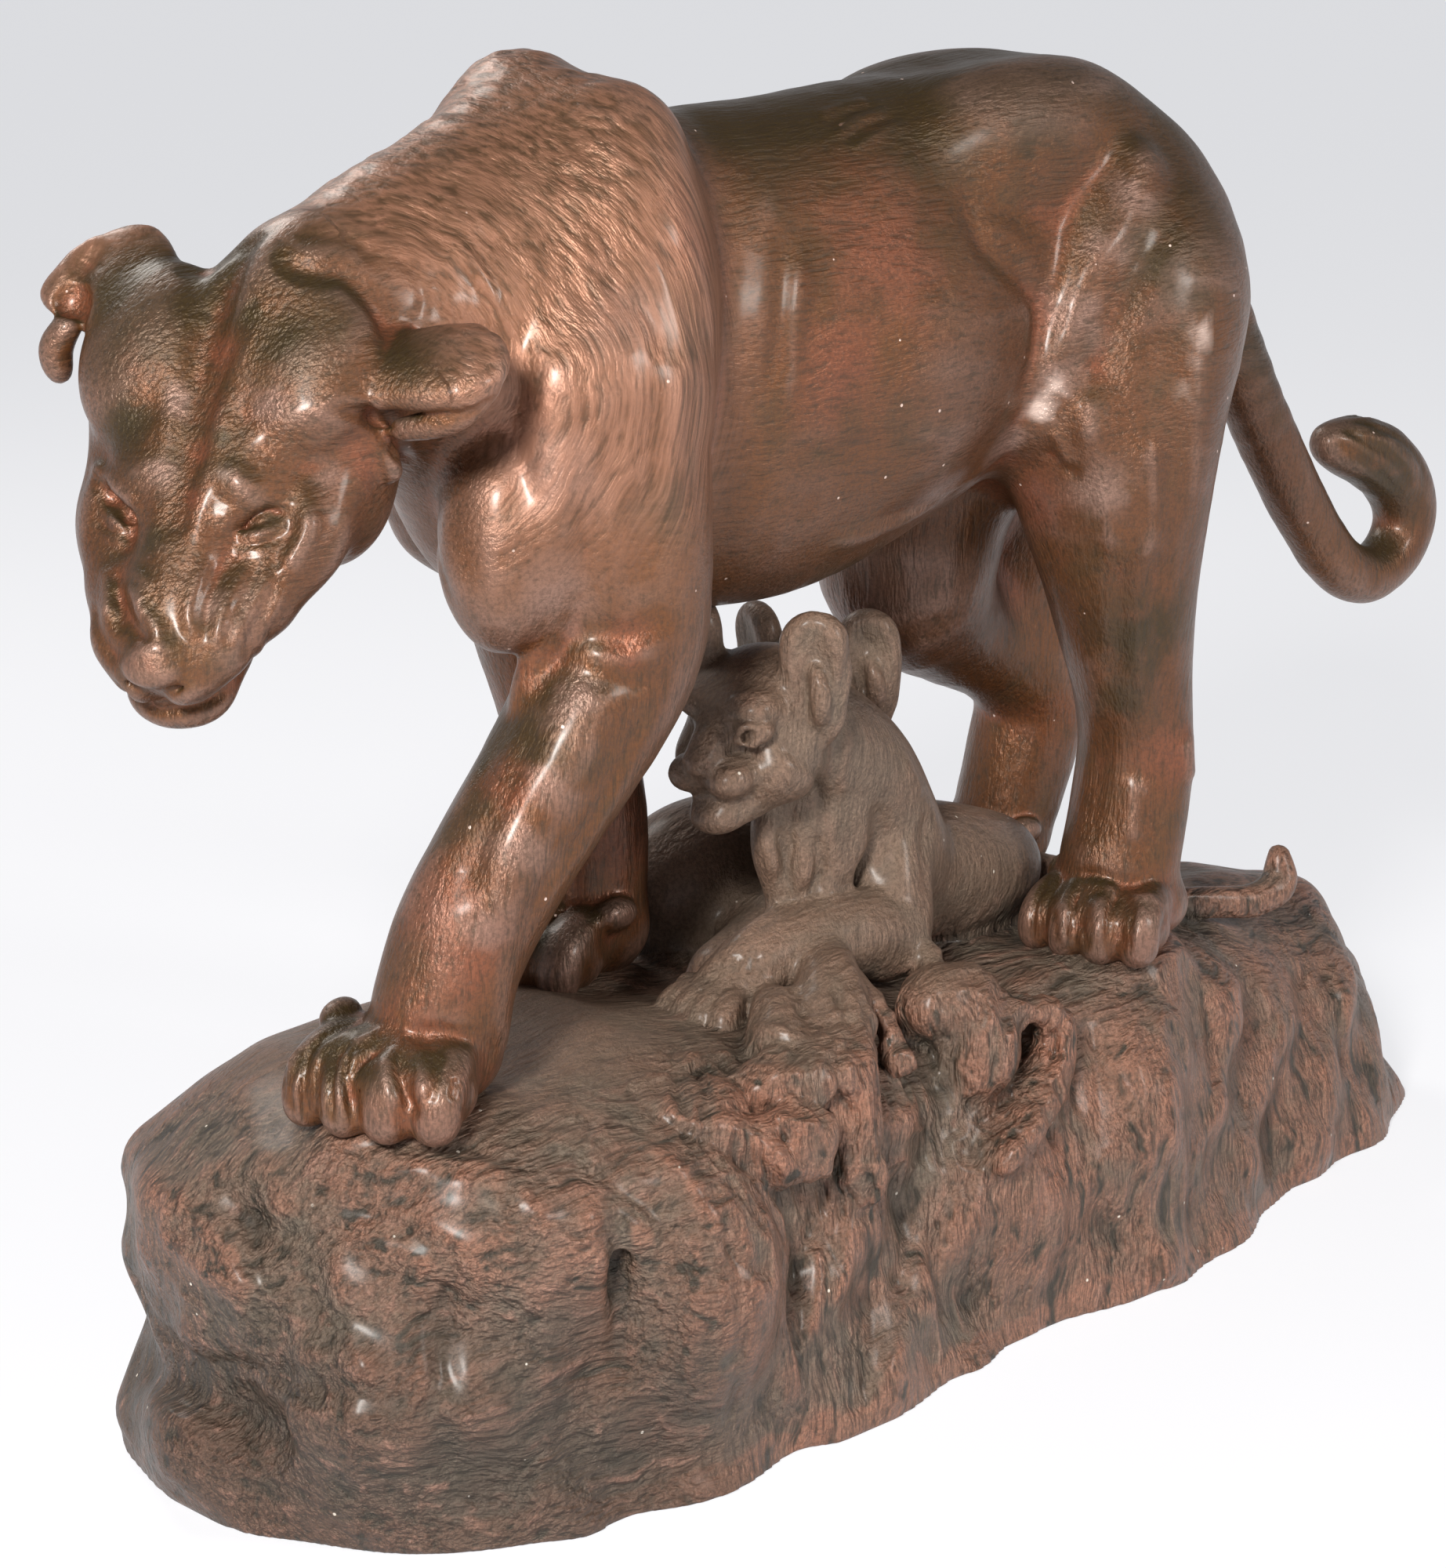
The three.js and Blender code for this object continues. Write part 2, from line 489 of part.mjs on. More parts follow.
// Fewer faces for the same form: edges whose loss moves the skin least are drawn to one
// point, as long as the skin stays closed and no face turns over. Care weighs a place up.
function thin(mesh, faceCount, care = () => 1) {
  const position = Float64Array.from(mesh.points)
  const vertexCount = position.length / 3
  const faces = mesh.faces.map((f) => f.slice())
  const alive = new Uint8Array(faces.length).fill(1)
  const around = Array.from({ length: vertexCount }, () => new Set())
  faces.forEach((f, i) => f.forEach((v) => around[v].add(i)))
  const point = (v) => [position[3 * v], position[3 * v + 1], position[3 * v + 2]]
  const quadric = new Float64Array(vertexCount * 10)
  for (const f of faces) {
    const [a, b, c] = f.map(point)
    const n = cross(sub(b, a), sub(c, a))
    const size = Math.hypot(...n)
    if (size < 1e-9) continue
    const [x, y, z] = n.map((v) => v / size)
    const w = -dot([x, y, z], a)
    const weight = size * care(a)
    const terms = [x * x, x * y, x * z, x * w, y * y, y * z, y * w, z * z, z * w, w * w]
    for (const v of f) terms.forEach((t, i) => { quadric[10 * v + i] += t * weight })
  }
  const stamp = new Uint32Array(vertexCount)
  const heap = []
  const swap = (i, j) => { [heap[i], heap[j]] = [heap[j], heap[i]] }
  const push = (entry) => {
    heap.push(entry)
    let i = heap.length - 1
    while (i > 0) {
      const up = (i - 1) >> 1
      if (heap[up].cost <= heap[i].cost) break
      swap(i, up)
      i = up
    }
  }
  const pop = () => {
    const first = heap[0]
    const last = heap.pop()
    if (heap.length) {
      heap[0] = last
      let i = 0
      for (;;) {
        const left = 2 * i + 1
        let least = i
        if (left < heap.length && heap[left].cost < heap[least].cost) least = left
        if (left + 1 < heap.length && heap[left + 1].cost < heap[least].cost) least = left + 1
        if (least === i) break
        swap(i, least)
        i = least
      }
    }
    return first
  }
  const price = (q, p) => {
    const [x, y, z] = p
    return q[0] * x * x + 2 * q[1] * x * y + 2 * q[2] * x * z + 2 * q[3] * x + q[4] * y * y
      + 2 * q[5] * y * z + 2 * q[6] * y + q[7] * z * z + 2 * q[8] * z + q[9]
  }
  const offer = (u, v) => {
    const q = []
    for (let i = 0; i < 10; i++) q.push(quadric[10 * u + i] + quadric[10 * v + i])
    const a = point(u)
    const b = point(v)
    const middle = add([a[0] / 2, a[1] / 2, a[2] / 2], b, 0.5)
    const choices = [middle, a, b]
    const best = lowest(q)
    if (best && Math.hypot(...sub(best, middle)) < 1.5 * Math.hypot(...sub(a, b))) choices.push(best)
    let cost = Infinity
    let target = middle
    for (const p of choices) {
      const c = price(q, p)
      if (c < cost) {
        cost = c
        target = p
      }
    }
    const long = Math.hypot(...sub(a, b))
    // Long faces cost a little too, except on the flat clay below the floor
    const even = Math.max(a[2], b[2]) < 0 ? 0 : 1e-3 * long * long * long * care(middle)
    push({ cost: Math.max(cost, 0) + even, u, v, target, mark: stamp[u] + stamp[v], su: stamp[u] })
  }
  const neighbours = (v) => {
    const set = new Set()
    for (const f of around[v]) for (const w of faces[f]) if (w !== v) set.add(w)
    return set
  }
  for (let v = 0; v < vertexCount; v++) for (const w of neighbours(v)) if (v < w) offer(v, w)
  let left = faces.length
  const turned = (v, other, target) => {
    for (const i of around[v]) {
      const f = faces[i]
      if (f.includes(other)) continue
      const before = f.map(point)
      const after = f.map((w) => (w === v ? target : point(w)))
      const n0 = cross(sub(before[1], before[0]), sub(before[2], before[0]))
      const n1 = cross(sub(after[1], after[0]), sub(after[2], after[0]))
      const l0 = Math.hypot(...n0)
      const l1 = Math.hypot(...n1)
      const longest = Math.max(...[0, 1, 2].map((e) => Math.hypot(...sub(after[e], after[(e + 1) % 3]))))
      if (l1 < 0.06 * longest * longest) return true
      if (l0 > 1e-6 && dot(n0, n1) < 0.35 * l0 * l1) return true
    }
    return false
  }
  while (left > faceCount && heap.length) {
    const { u, v, target, mark, su } = pop()
    if (stamp[u] !== su || stamp[u] + stamp[v] !== mark || !around[u].size || !around[v].size) continue
    const nu = neighbours(u)
    const nv = neighbours(v)
    if (!nu.has(v)) continue
    let shared = 0
    for (const w of nu) shared += nv.has(w) ? 1 : 0
    if (shared !== 2 || turned(u, v, target) || turned(v, u, target)) continue
    for (let i = 0; i < 3; i++) position[3 * u + i] = target[i]
    for (let i = 0; i < 10; i++) quadric[10 * u + i] += quadric[10 * v + i]
    for (const i of [...around[v]]) {
      if (faces[i].includes(u)) {
        alive[i] = 0
        left--
        faces[i].forEach((w) => around[w].delete(i))
      } else {
        faces[i][faces[i].indexOf(v)] = u
        around[u].add(i)
      }
    }
    around[v].clear()
    stamp[u]++
    stamp[v]++
    for (const w of neighbours(u)) offer(u, w)
  }
  const number = new Map()
  const points = []
  const kept = []
  faces.forEach((f, i) => {
    if (!alive[i]) return
    kept.push(f.map((v) => {
      if (!number.has(v)) {
        number.set(v, points.length / 3)
        points.push(...point(v))
      }
      return number.get(v)
    }))
  })
  return { points, faces: kept }
}

// The point where a sum of squared plane distances is least
function lowest(q) {
  const det = q[0] * (q[4] * q[7] - q[5] * q[5]) - q[1] * (q[1] * q[7] - q[5] * q[2])
    + q[2] * (q[1] * q[5] - q[4] * q[2])
  const scale = q[0] + q[4] + q[7]
  if (Math.abs(det) < 1e-4 * scale * scale * scale) return null
  const r = [-q[3], -q[6], -q[8]]
  const x = r[0] * (q[4] * q[7] - q[5] * q[5]) - q[1] * (r[1] * q[7] - q[5] * r[2]) + q[2] * (r[1] * q[5] - q[4] * r[2])
  const y = q[0] * (r[1] * q[7] - q[5] * r[2]) - r[0] * (q[1] * q[7] - q[5] * q[2]) + q[2] * (q[1] * r[2] - r[1] * q[2])
  const z = q[0] * (q[4] * r[2] - r[1] * q[5]) - q[1] * (q[1] * r[2] - r[1] * q[2]) + r[0] * (q[1] * q[5] - q[4] * q[2])
  return [x / det, y / det, z / det]
}

// A mesh of the two kinds that the model moves between
function toSolid({ points, faces }) {
  return new wasm.Manifold(new wasm.Mesh({
    numProp: 3, vertProperties: Float32Array.from(points), triVerts: Uint32Array.from(faces.flat()) }))
}

function toGeometry(solid) {
  const mesh = solid.getMesh()
  const geometry = new THREE.BufferGeometry()
  geometry.setAttribute('position', new THREE.BufferAttribute(Float32Array.from(mesh.vertProperties), 3))
  geometry.setIndex(new THREE.BufferAttribute(Uint32Array.from(mesh.triVerts), 1))
  geometry.computeVertexNormals()
  return geometry
}

// A block between two corners, to cut with
function block(low, high) {
  const size = sub(high, low)
  const box = new THREE.BoxGeometry(...size)
  box.translate(...add(low, size, 0.5))
  box.deleteAttribute('normal')
  box.deleteAttribute('uv')
  const whole = mergeVertices(box)
  return new wasm.Manifold(new wasm.Mesh({
    numProp: 3, vertProperties: Float32Array.from(whole.attributes.position.array),
    triVerts: Uint32Array.from(whole.index.array) }))
}

function bronze(name, solid, color, roughness) {
  const mesh = new THREE.Mesh(toGeometry(solid), new THREE.MeshStandardMaterial({ color, roughness, metalness: 0.9 }))
  mesh.name = name
  return mesh
}

const REACH = 2000
const finerHead = ([x, , z]) => (x < -400 && z > 420 ? 4 : z < 300 ? 2 : 1)
const finerCubs = ([, , z]) => (z > 258 ? 4 : 1)
let lioness = toSolid(thin(skin(modelLioness()), LIONESS_FACES, finerHead))
lioness = lioness.subtract(block([-REACH, -REACH, 0], [0, REACH, FRONT_TOP]))
lioness = lioness.subtract(block([0, -REACH, 0], [REACH, REACH, REAR_TOP]))

let rock = toSolid(thin(skin(modelRock()), ROCK_FACES, finerCubs))
rock = rock.intersect(block([-REACH, -REACH, 0], [REACH, REACH, REACH]))
for (const { sole, turn, size } of Object.values(PAWS)) {
  const print = block([-size * 0.72, -size * 0.62, 0], [size * 0.76, size * 0.62, 40])
    .intersect(wasm.Manifold.cylinder(40, size * 0.86, size * 0.86, 32).scale([1, 0.84, 1]))
  rock = rock.subtract(print.rotate([0, 0, turn]).translate(add(sole, [0, 0, -PAW_GAP])))
}

const object = new THREE.Group()
object.add(bronze('lioness', lioness, 0x6b4a3c, 0.38))
object.add(bronze('rock_with_cubs', rock, 0x6e5a4c, 0.6))

export default object
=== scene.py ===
# A bronze lioness, her head hung low, walking over two cubs that lie on a rocky base.
# Two castings stand on each other: the lioness with her tail, and the rock with both cubs.
# The forms are built up as clay, in millimetres, and each casting's mesh is made in metres.

import math
import bmesh
import bpy
import numpy as np
import openvdb
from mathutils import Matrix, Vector


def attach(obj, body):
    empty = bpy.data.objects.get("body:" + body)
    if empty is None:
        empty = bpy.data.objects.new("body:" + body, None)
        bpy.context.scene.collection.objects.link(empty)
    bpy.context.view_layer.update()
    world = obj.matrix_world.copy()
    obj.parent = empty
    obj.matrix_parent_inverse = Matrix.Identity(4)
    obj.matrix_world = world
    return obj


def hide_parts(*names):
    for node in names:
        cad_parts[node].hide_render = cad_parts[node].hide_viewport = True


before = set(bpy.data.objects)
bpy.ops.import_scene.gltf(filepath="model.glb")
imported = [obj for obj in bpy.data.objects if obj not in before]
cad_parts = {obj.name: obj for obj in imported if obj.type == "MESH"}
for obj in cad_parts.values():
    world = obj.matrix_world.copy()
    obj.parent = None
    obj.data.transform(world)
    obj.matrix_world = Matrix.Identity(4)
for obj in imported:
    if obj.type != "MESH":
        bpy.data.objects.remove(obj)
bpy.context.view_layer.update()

# The camera stands in front of her left shoulder, a little above her back, and looks down
# on her with a long lens.
camera_data = bpy.data.cameras.new("photo_camera")
camera_data.lens = 93.6
camera_data.sensor_width = 36
camera_data.clip_end = 200
camera = bpy.data.objects.new("photo_camera", camera_data)
bpy.context.scene.collection.objects.link(camera)
turn = math.radians(-44)
lift = math.radians(15.5)
away = Vector((math.sin(turn) * math.cos(lift), -math.cos(turn) * math.cos(lift), math.sin(lift)))
camera.location = Vector((-0.125, -0.05, 0.38)) + away * 2.5
camera.rotation_mode = "QUATERNION"
camera.rotation_quaternion = (-away).to_track_quat("-Z", "Y")
bpy.context.scene.camera = camera


# The lioness: one hollow casting in bronze, standing on the rock by her four paws. She is
# modelled as the sculptor did, lump by lump in clay, and the skin of the clay is cast.
FRONT_TOP = 238
REAR_TOP = 210
LEFT_FORE = {"sole": (-384, -58, FRONT_TOP), "turn": 22, "size": 102}
RIGHT_FORE = {"sole": (-152, 72, FRONT_TOP), "turn": 5, "size": 98}
LEFT_HIND = {"sole": (219, -76, REAR_TOP), "turn": 14, "size": 92}
RIGHT_HIND = {"sole": (262, 90, REAR_TOP), "turn": 0, "size": 88}


def unit(vector):
    return np.asarray(vector, float) / np.linalg.norm(vector)


def heading(yaw, pitch=0, roll=0):
    """Forward, left and up of an animal. Yaw 0 looks along -X and turns to its left."""
    yaw, pitch, roll = np.radians([yaw, pitch, roll])
    forward = np.array([-np.cos(yaw) * np.cos(pitch), -np.sin(yaw) * np.cos(pitch), np.sin(pitch)])
    level = np.array([np.sin(yaw), -np.cos(yaw), 0])
    left = level * np.cos(roll) + np.cross(forward, level) * np.sin(roll)
    return np.array([forward, left, np.cross(forward, left)])


def place(centre, axes, forward, left, up):
    return np.asarray(centre, float) + np.array([forward, left, up], float) @ axes


class Lump:
    """A turned ellipsoid, measured along three directions."""

    def __init__(self, centre, radii, axes=heading(0)):
        self.centre = np.asarray(centre, float)
        self.radii = radii
        self.axes = axes
        reach = np.linalg.norm(np.asarray(radii, float)[:, None] * axes, axis=0)
        self.low = self.centre - reach
        self.high = self.centre + reach

    def distance(self, x, y, z):
        x, y, z = np.meshgrid(x - self.centre[0], y - self.centre[1], z - self.centre[2],
                              indexing="ij", sparse=True)
        near = 0
        slope = 0
        for axis, radius in zip(np.float32(self.axes), self.radii):
            along = (x * axis[0] + y * axis[1]) + z * axis[2]
            along *= np.float32(1 / radius)
            along *= along
            near = near + along
            slope = slope + along * np.float32(1 / radius ** 2)
        near = np.sqrt(near)
        return near * (near - 1) / (np.sqrt(slope) + np.float32(1e-6))


class Limb:
    """A tapering limb with round ends. Across narrows or widens it along Y."""

    def __init__(self, start, end, start_radius, end_radius, across=1):
        self.start = np.asarray(start, float)
        self.end = np.asarray(end, float)
        self.radii = (start_radius, end_radius)
        self.across = across
        grow = max(self.radii) * np.array([1, max(1, across), 1])
        self.low = np.minimum(self.start, self.end) - grow
        self.high = np.maximum(self.start, self.end) + grow

    def distance(self, x, y, z):
        squeeze = np.array([1, 1 / self.across, 1])
        start = self.start * squeeze
        run = np.float32(self.end * squeeze - start)
        x, y, z = np.meshgrid(x - start[0], y / self.across - start[1], z - start[2],
                              indexing="ij", sparse=True)
        x, y, z = (np.float32(v) for v in (x, y, z))
        share = (x * run[0] + y * run[1]) + z * run[2]
        share = np.clip(share * np.float32(1 / (run @ run)), 0, 1)
        off = (x - run[0] * share) ** 2 + (y - run[1] * share) ** 2 + (z - run[2] * share) ** 2
        radius = self.radii[0] + np.float32(self.radii[1] - self.radii[0]) * share
        return (np.sqrt(off) - radius) * np.float32(min(1, self.across))


def melt(a, b, blend):
    overlap = np.maximum(np.float32(blend) - np.abs(a - b), 0)
    return np.minimum(a, b) - overlap * overlap * np.float32(0.25 / blend)


def between(marks, low, high):
    return slice(int(np.searchsorted(marks, low)), int(np.searchsorted(marks, high, side="right")))


def bends(points, count=4):
    """A smooth line through the points, with that many steps in each span."""
    points = [np.asarray(p, float) for p in points]
    along = []
    for i in range(len(points) - 1):
        a, b, c, d = points[max(i - 1, 0)], points[i], points[i + 1], points[min(i + 2, len(points) - 1)]
        for n in range(count):
            t = n / count
            cubic = 2 * a - 5 * b + 4 * c - d + t * (3 * b - a - 3 * c + d)
            along.append(b + 0.5 * t * (c - a + t * cubic))
    return along + [points[-1]]


class Chain:
    """One smooth limb through points that each give x, y, z and a radius."""

    def __init__(self, points, across=1, reach=48):
        along = bends(points)
        self.reach = reach
        self.limbs = [Limb(a[:3], b[:3], a[3], b[3], across) for a, b in zip(along, along[1:])]
        self.low = np.min([limb.low for limb in self.limbs], axis=0)
        self.high = np.max([limb.high for limb in self.limbs], axis=0)

    def distance(self, x, y, z):
        least = np.full((len(x), len(y), len(z)), 1e3, np.float32)
        thinnest = min(min(limb.radii) for limb in self.limbs)
        inner = min(8, 2 * thinnest)
        for limb in self.limbs:
            part = tuple(between(m, low, high) for m, low, high
                         in zip((x, y, z), limb.low - self.reach, limb.high + self.reach))
            spot = limb.distance(x[part[0]], y[part[1]], z[part[2]])
            least[part] = melt(least[part], spot, inner)
        return least + np.float32(inner / 4)


def ruler(start, *spans):
    """Places along one direction: from, step, to, step, to."""
    marks = [start]
    for step, end in zip(spans[::2], spans[1::2]):
        count = math.ceil((end - marks[-1]) / step)
        marks += list(np.linspace(marks[-1], end, count + 1)[1:])
    return np.float32(marks)


EMPTY = 100


class Clay:
    """A block of distances that forms are pressed into and carved out of. It starts empty:
    every place is far from any form."""

    def __init__(self, *marks):
        self.marks = marks
        self.field = np.full([len(m) for m in marks], EMPTY, np.float32)

    def visit(self, form, reach, change):
        part = tuple(between(m, low, high) for m, low, high
                     in zip(self.marks, form.low - reach, form.high + reach))
        if all(p.stop > p.start for p in part):
            spot = form.distance(*(m[p] for m, p in zip(self.marks, part)))
            self.field[part] = change(self.field[part], spot)

    def press(self, blend, *forms):
        for form in forms:
            reach = blend + (22 if blend >= 10 else 6)
            self.visit(form, reach, lambda old, new: melt(old, new, blend))

    def carve(self, blend, *forms):
        for form in forms:
            self.visit(form, blend + 6, lambda old, new: -melt(-old, new, blend))


clay = Clay(ruler(-600, 1.7, -390, 2.6, 640), ruler(-150, 2.2, 175),
            ruler(200, 2, 300, 2.6, 480, 1.8, 720, 2.6, 840))

# The trunk, with the ridge of the back
clay.press(40, Lump((-60, 0, 628), (212, 95, 150)))
clay.press(50, Lump((95, 0, 652), (180, 80, 124)))
clay.press(40, Lump((220, 0, 688), (102, 72, 98)))
clay.press(40, Chain([(-205, 0, 734, 56), (-70, 0, 732, 46), (60, 0, 742, 46), (190, 0, 742, 50)]))

# The shoulders, the haunches over the hips, and the neck
clay.press(22, Limb((-204, -44, 774), (-242, -72, 650), 36, 56),
           Limb((-205, 44, 786), (-243, 72, 650), 36, 54))
for side in (-1, 1):
    clay.press(30, Lump((152, 40 * side, 757), (98, 35, 42)))
clay.press(45, Lump((-235, 0, 620), (92, 84, 122)))
for side in (-1, 1):
    clay.press(24, Chain([(-212, 60 * side, 752, 32), (-218, 74 * side, 690, 40), (-224, 80 * side, 610, 40),
                          (-230, 82 * side, 548, 38)]))
clay.press(45, Chain([(-225, 0, 692, 100), (-335, 0, 684, 82), (-400, -4, 688, 62)], 0.88))
clay.press(40, Limb((-215, 12, 768), (-320, 4, 724), 42, 40))

# The forelegs: the left reaches forward and the right has gone back
clay.press(20, Chain([(-252, -70, 640, 62), (-246, -78, 560, 58), (-240, -82, 500, 51), (-272, -81, 445, 45),
                      (-318, -77, 390, 41), (-352, -71, 340, 40), (-374, -66, 285, 38)]))
clay.press(16, Lump((-316, -66, 560), (34, 40, 62)))
clay.press(12, Chain([(-298, -94, 660, 12), (-304, -98, 600, 13), (-302, -94, 545, 11), (-297, -82, 508, 9),
                      (-306, -74, 472, 9)]))
clay.press(14, Chain([(-278, -106, 486, 14), (-298, -102, 455, 20), (-326, -96, 418, 17),
                      (-346, -90, 388, 12)]))
clay.press(10, Chain([(-340, -98, 398, 12), (-352, -97, 356, 12), (-356, -94, 312, 12),
                      (-352, -92, 280, 10)]))
clay.press(24, Chain([(-220, 70, 625, 58), (-196, 72, 560, 52), (-172, 72, 490, 45), (-148, 70, 410, 40),
                      (-128, 68, 335, 36), (-130, 68, 265, 36)]))

# The barrel of the belly ends in a round edge before the thighs
for side in (-1, 1):
    clay.press(16, Lump((20, 42 * side, 622), (96, 56, 84)))
    clay.carve(10, Chain([(92, 90 * side, 700, 5), (118, 92 * side, 655, 6), (122, 92 * side, 625, 6),
                          (104, 90 * side, 590, 6), (70, 86 * side, 560, 5)]))

# The hind legs, with the points of the hocks and the kneecaps
clay.press(40, Lump((256, -44, 640), (88, 52, 112)), Lump((225, 44, 625), (90, 52, 112)))
clay.press(35, Chain([(238, -50, 640, 84), (212, -68, 548, 70), (218, -72, 470, 53), (231, -72, 400, 41),
                      (241, -70, 350, 37), (238, -70, 305, 39), (222, -72, 250, 40)]))
clay.press(10, Lump((270, -66, 342), (18, 20, 22)), Lump((166, -84, 572), (26, 26, 40)),
           Lump((146, 84, 556), (26, 26, 40)))
clay.press(30, Chain([(232, 50, 630, 78), (186, 66, 535, 66), (166, 72, 452, 60), (216, 79, 404, 42),
                      (272, 80, 376, 39), (306, 81, 338, 38), (300, 84, 300, 38), (286, 88, 250, 36)]))
clay.press(24, Chain([(262, 66, 560, 50), (266, 76, 480, 46), (292, 80, 410, 38), (312, 81, 352, 32)]))


def model_paw(clay, sole, turn, size, parted=True):
    """A palm and four toes that arch over their knuckles and come down to blunt tips."""
    axes = heading(turn)

    def at(forward, left, up):
        return place(sole, axes, forward * size, left * size, up * size)

    def line(*points):
        return Chain([(*at(*p[:3]), p[3] * size) for p in points], reach=14)

    inner_side = 1 if sole[1] < 0 else -1
    toe_step = 0.245
    clay.press(size * 0.14, Lump(at(-0.14, 0, 0.26), (size * 0.46, size * 0.46, size * 0.3), axes))
    clay.press(size * 0.1, Lump(at(0.24, 0, 0.21), (size * 0.34, size * 0.53, size * 0.31), axes))
    for toe in range(4):
        side = (toe - 1.5) * toe_step
        ahead = 0.1 - 0.1 * abs(toe - 1.5) / 1.5
        clay.press(size * 0.06, line((-0.02 + ahead, side * 0.8, 0.36, 0.11),
                                     (0.2 + ahead, side * 0.98, 0.38, 0.13),
                                     (0.4 + ahead, side * 1.08, 0.27, 0.145),
                                     (0.46 + ahead, side * 1.1, 0.1, 0.135)))
    if parted:
        for gap in (-1, 0, 1):
            side = gap * toe_step
            ahead = 0.1 - 0.04 * abs(gap)
            clay.carve(size * 0.02, line((0.06 + ahead, side * 0.9, 0.5, 0.008),
                                         (0.28 + ahead, side * 1.02, 0.47, 0.02),
                                         (0.51 + ahead, side * 1.09, 0.36, 0.028),
                                         (0.59 + ahead, side * 1.1, 0.18, 0.028),
                                         (0.6 + ahead, side * 1.1, 0, 0.024)))
    inner_toe = at(-0.04, -0.46 * inner_side, 0.46)
    clay.press(size * 0.06, Lump(inner_toe, (size * 0.18, size * 0.1, size * 0.11), axes))


# The front edge of the thigh is a rounded ridge, and a shallow hollow lies behind the shoulder
for side in (-1, 1):
    clay.press(22, Chain([(214, 76 * side, 728, 14), (184, 80 * side, 690, 16), (160, 79 * side, 646, 16),
                          (144, 74 * side, 606, 15), (138, 66 * side, 575, 13)]))
    clay.carve(12, Chain([(-150, 96 * side, 750, 4), (-162, 108 * side, 700, 5), (-166, 110 * side, 640, 5),
                          (-172, 106 * side, 580, 4)]))

for foot, parted in ((LEFT_FORE, False), (RIGHT_FORE, True), (LEFT_HIND, False), (RIGHT_HIND, True)):
    model_paw(clay, parted=parted, **foot)

# The tail hangs from the rump and curls up to a tufted end
clay.press(20, Chain([(285, 0, 720, 34), (338, 0, 690, 28), (382, 0, 636, 25), (428, 0, 561, 23),
                      (474, 0, 492, 22), (510, 0, 445, 21), (546, 0, 408, 20.5), (583, 0, 394, 20),
                      (615, 0, 408, 20.5), (627, 0, 434, 21.5), (613, 0, 462, 24), (582, 0, 484, 25),
                      (550, 0, 494, 20), (530, 0, 499, 13)]))
TUFT_STRAND = ((0, -4, 9, 2), (24, -8, 17, 3), (52, -17, 23, 3.4), (82, -36, 22, 3))
for strand in range(7):
    sweep = math.radians(-65 + 26 * strand)
    side = math.sin(sweep)
    lift = math.cos(sweep)
    clay.press(3, Chain([(524 + x, wide * side, 503 + z + wide * lift * (1 if x < 60 else 0.4), radius)
                         for x, z, wide, radius in TUFT_STRAND]))


def model_ear(clay, root, tip, back, half_width, half_thick, deep=0.95):
    """A paddle from root to tip, hollowed on the side away from its back."""
    along = unit(tip - root)
    across = unit(np.cross(back, along))
    axes = np.array([along, across, unit(np.cross(along, across))])
    length = np.linalg.norm(tip - root)
    for at, reach, width, thick in ((0.36, 0.56, 0.92, 1), (0.6, 0.4, 1, 0.95), (0.76, 0.24, 0.9, 0.9)):
        clay.press(8, Lump(root + along * at * length,
                           (reach * length, half_width * width, half_thick * thick), axes))
    inner = root + along * 0.55 * length - axes[2] * half_thick
    clay.carve(4, Lump(inner, (0.42 * length, 0.72 * half_width, deep * half_thick), axes))


# The head hangs low and turns to her left. It is measured from the point between the eyes,
# forward along the bridge of the nose.
HEAD = heading(27, -53, -1)
BROW = (-511, -29, 604)


def head_lump(blend, forward, left, up, *radii):
    clay.press(blend, Lump(place(BROW, HEAD, forward, left, up), radii, HEAD))


def head_rod(start, end, start_radius, end_radius):
    return Limb(place(BROW, HEAD, *start), place(BROW, HEAD, *end), start_radius, end_radius)


def head_line(*points):
    return Chain([(*place(BROW, HEAD, *p[:3]), p[3]) for p in points], reach=12)


head_lump(24, -84, 0, -46, 76, 92, 58)
clay.press(20, head_rod((-40, 0, -38), (40, 0, -36), 46, 32))
clay.press(14, head_rod((-15, 0, -22), (78, 0, -20), 26, 17))
for side in (-1, 1):
    head_lump(6, -96, 44 * side, -14, 58, 45, 32)
    head_lump(12, -30, 30 * side, -16, 34, 24, 18)
    head_lump(18, -20, 58 * side, -42, 44, 24, 22)
    head_lump(14, 22, 42 * side, -38, 34, 22, 22)
    head_lump(20, -50, 52 * side, -72, 44, 33, 32)

# The upper lip and its whisker pads overhang the lower jaw, and the nose ends in a broad pad
for side in (-1, 1):
    head_lump(12, 54, 24 * side, -30, 34, 25, 21)
    head_lump(8, 78, 14 * side, -33, 20, 18, 17)
head_lump(5, 87, 0, -15, 12, 17, 9)
head_lump(14, -4, 0, -76, 46, 44, 24)
head_lump(12, 46, 0, -66, 46, 31, 20)
head_lump(8, 78, -4, -63, 24, 32, 16)

# The furrow between the two lobes of the skull
clay.carve(12, head_line((-150, -1, 18, 9), (-100, -4, 16, 8), (-50, -4, 12, 7), (-10, -3, 10, 5),
                         (14, -3, 8, 3)))

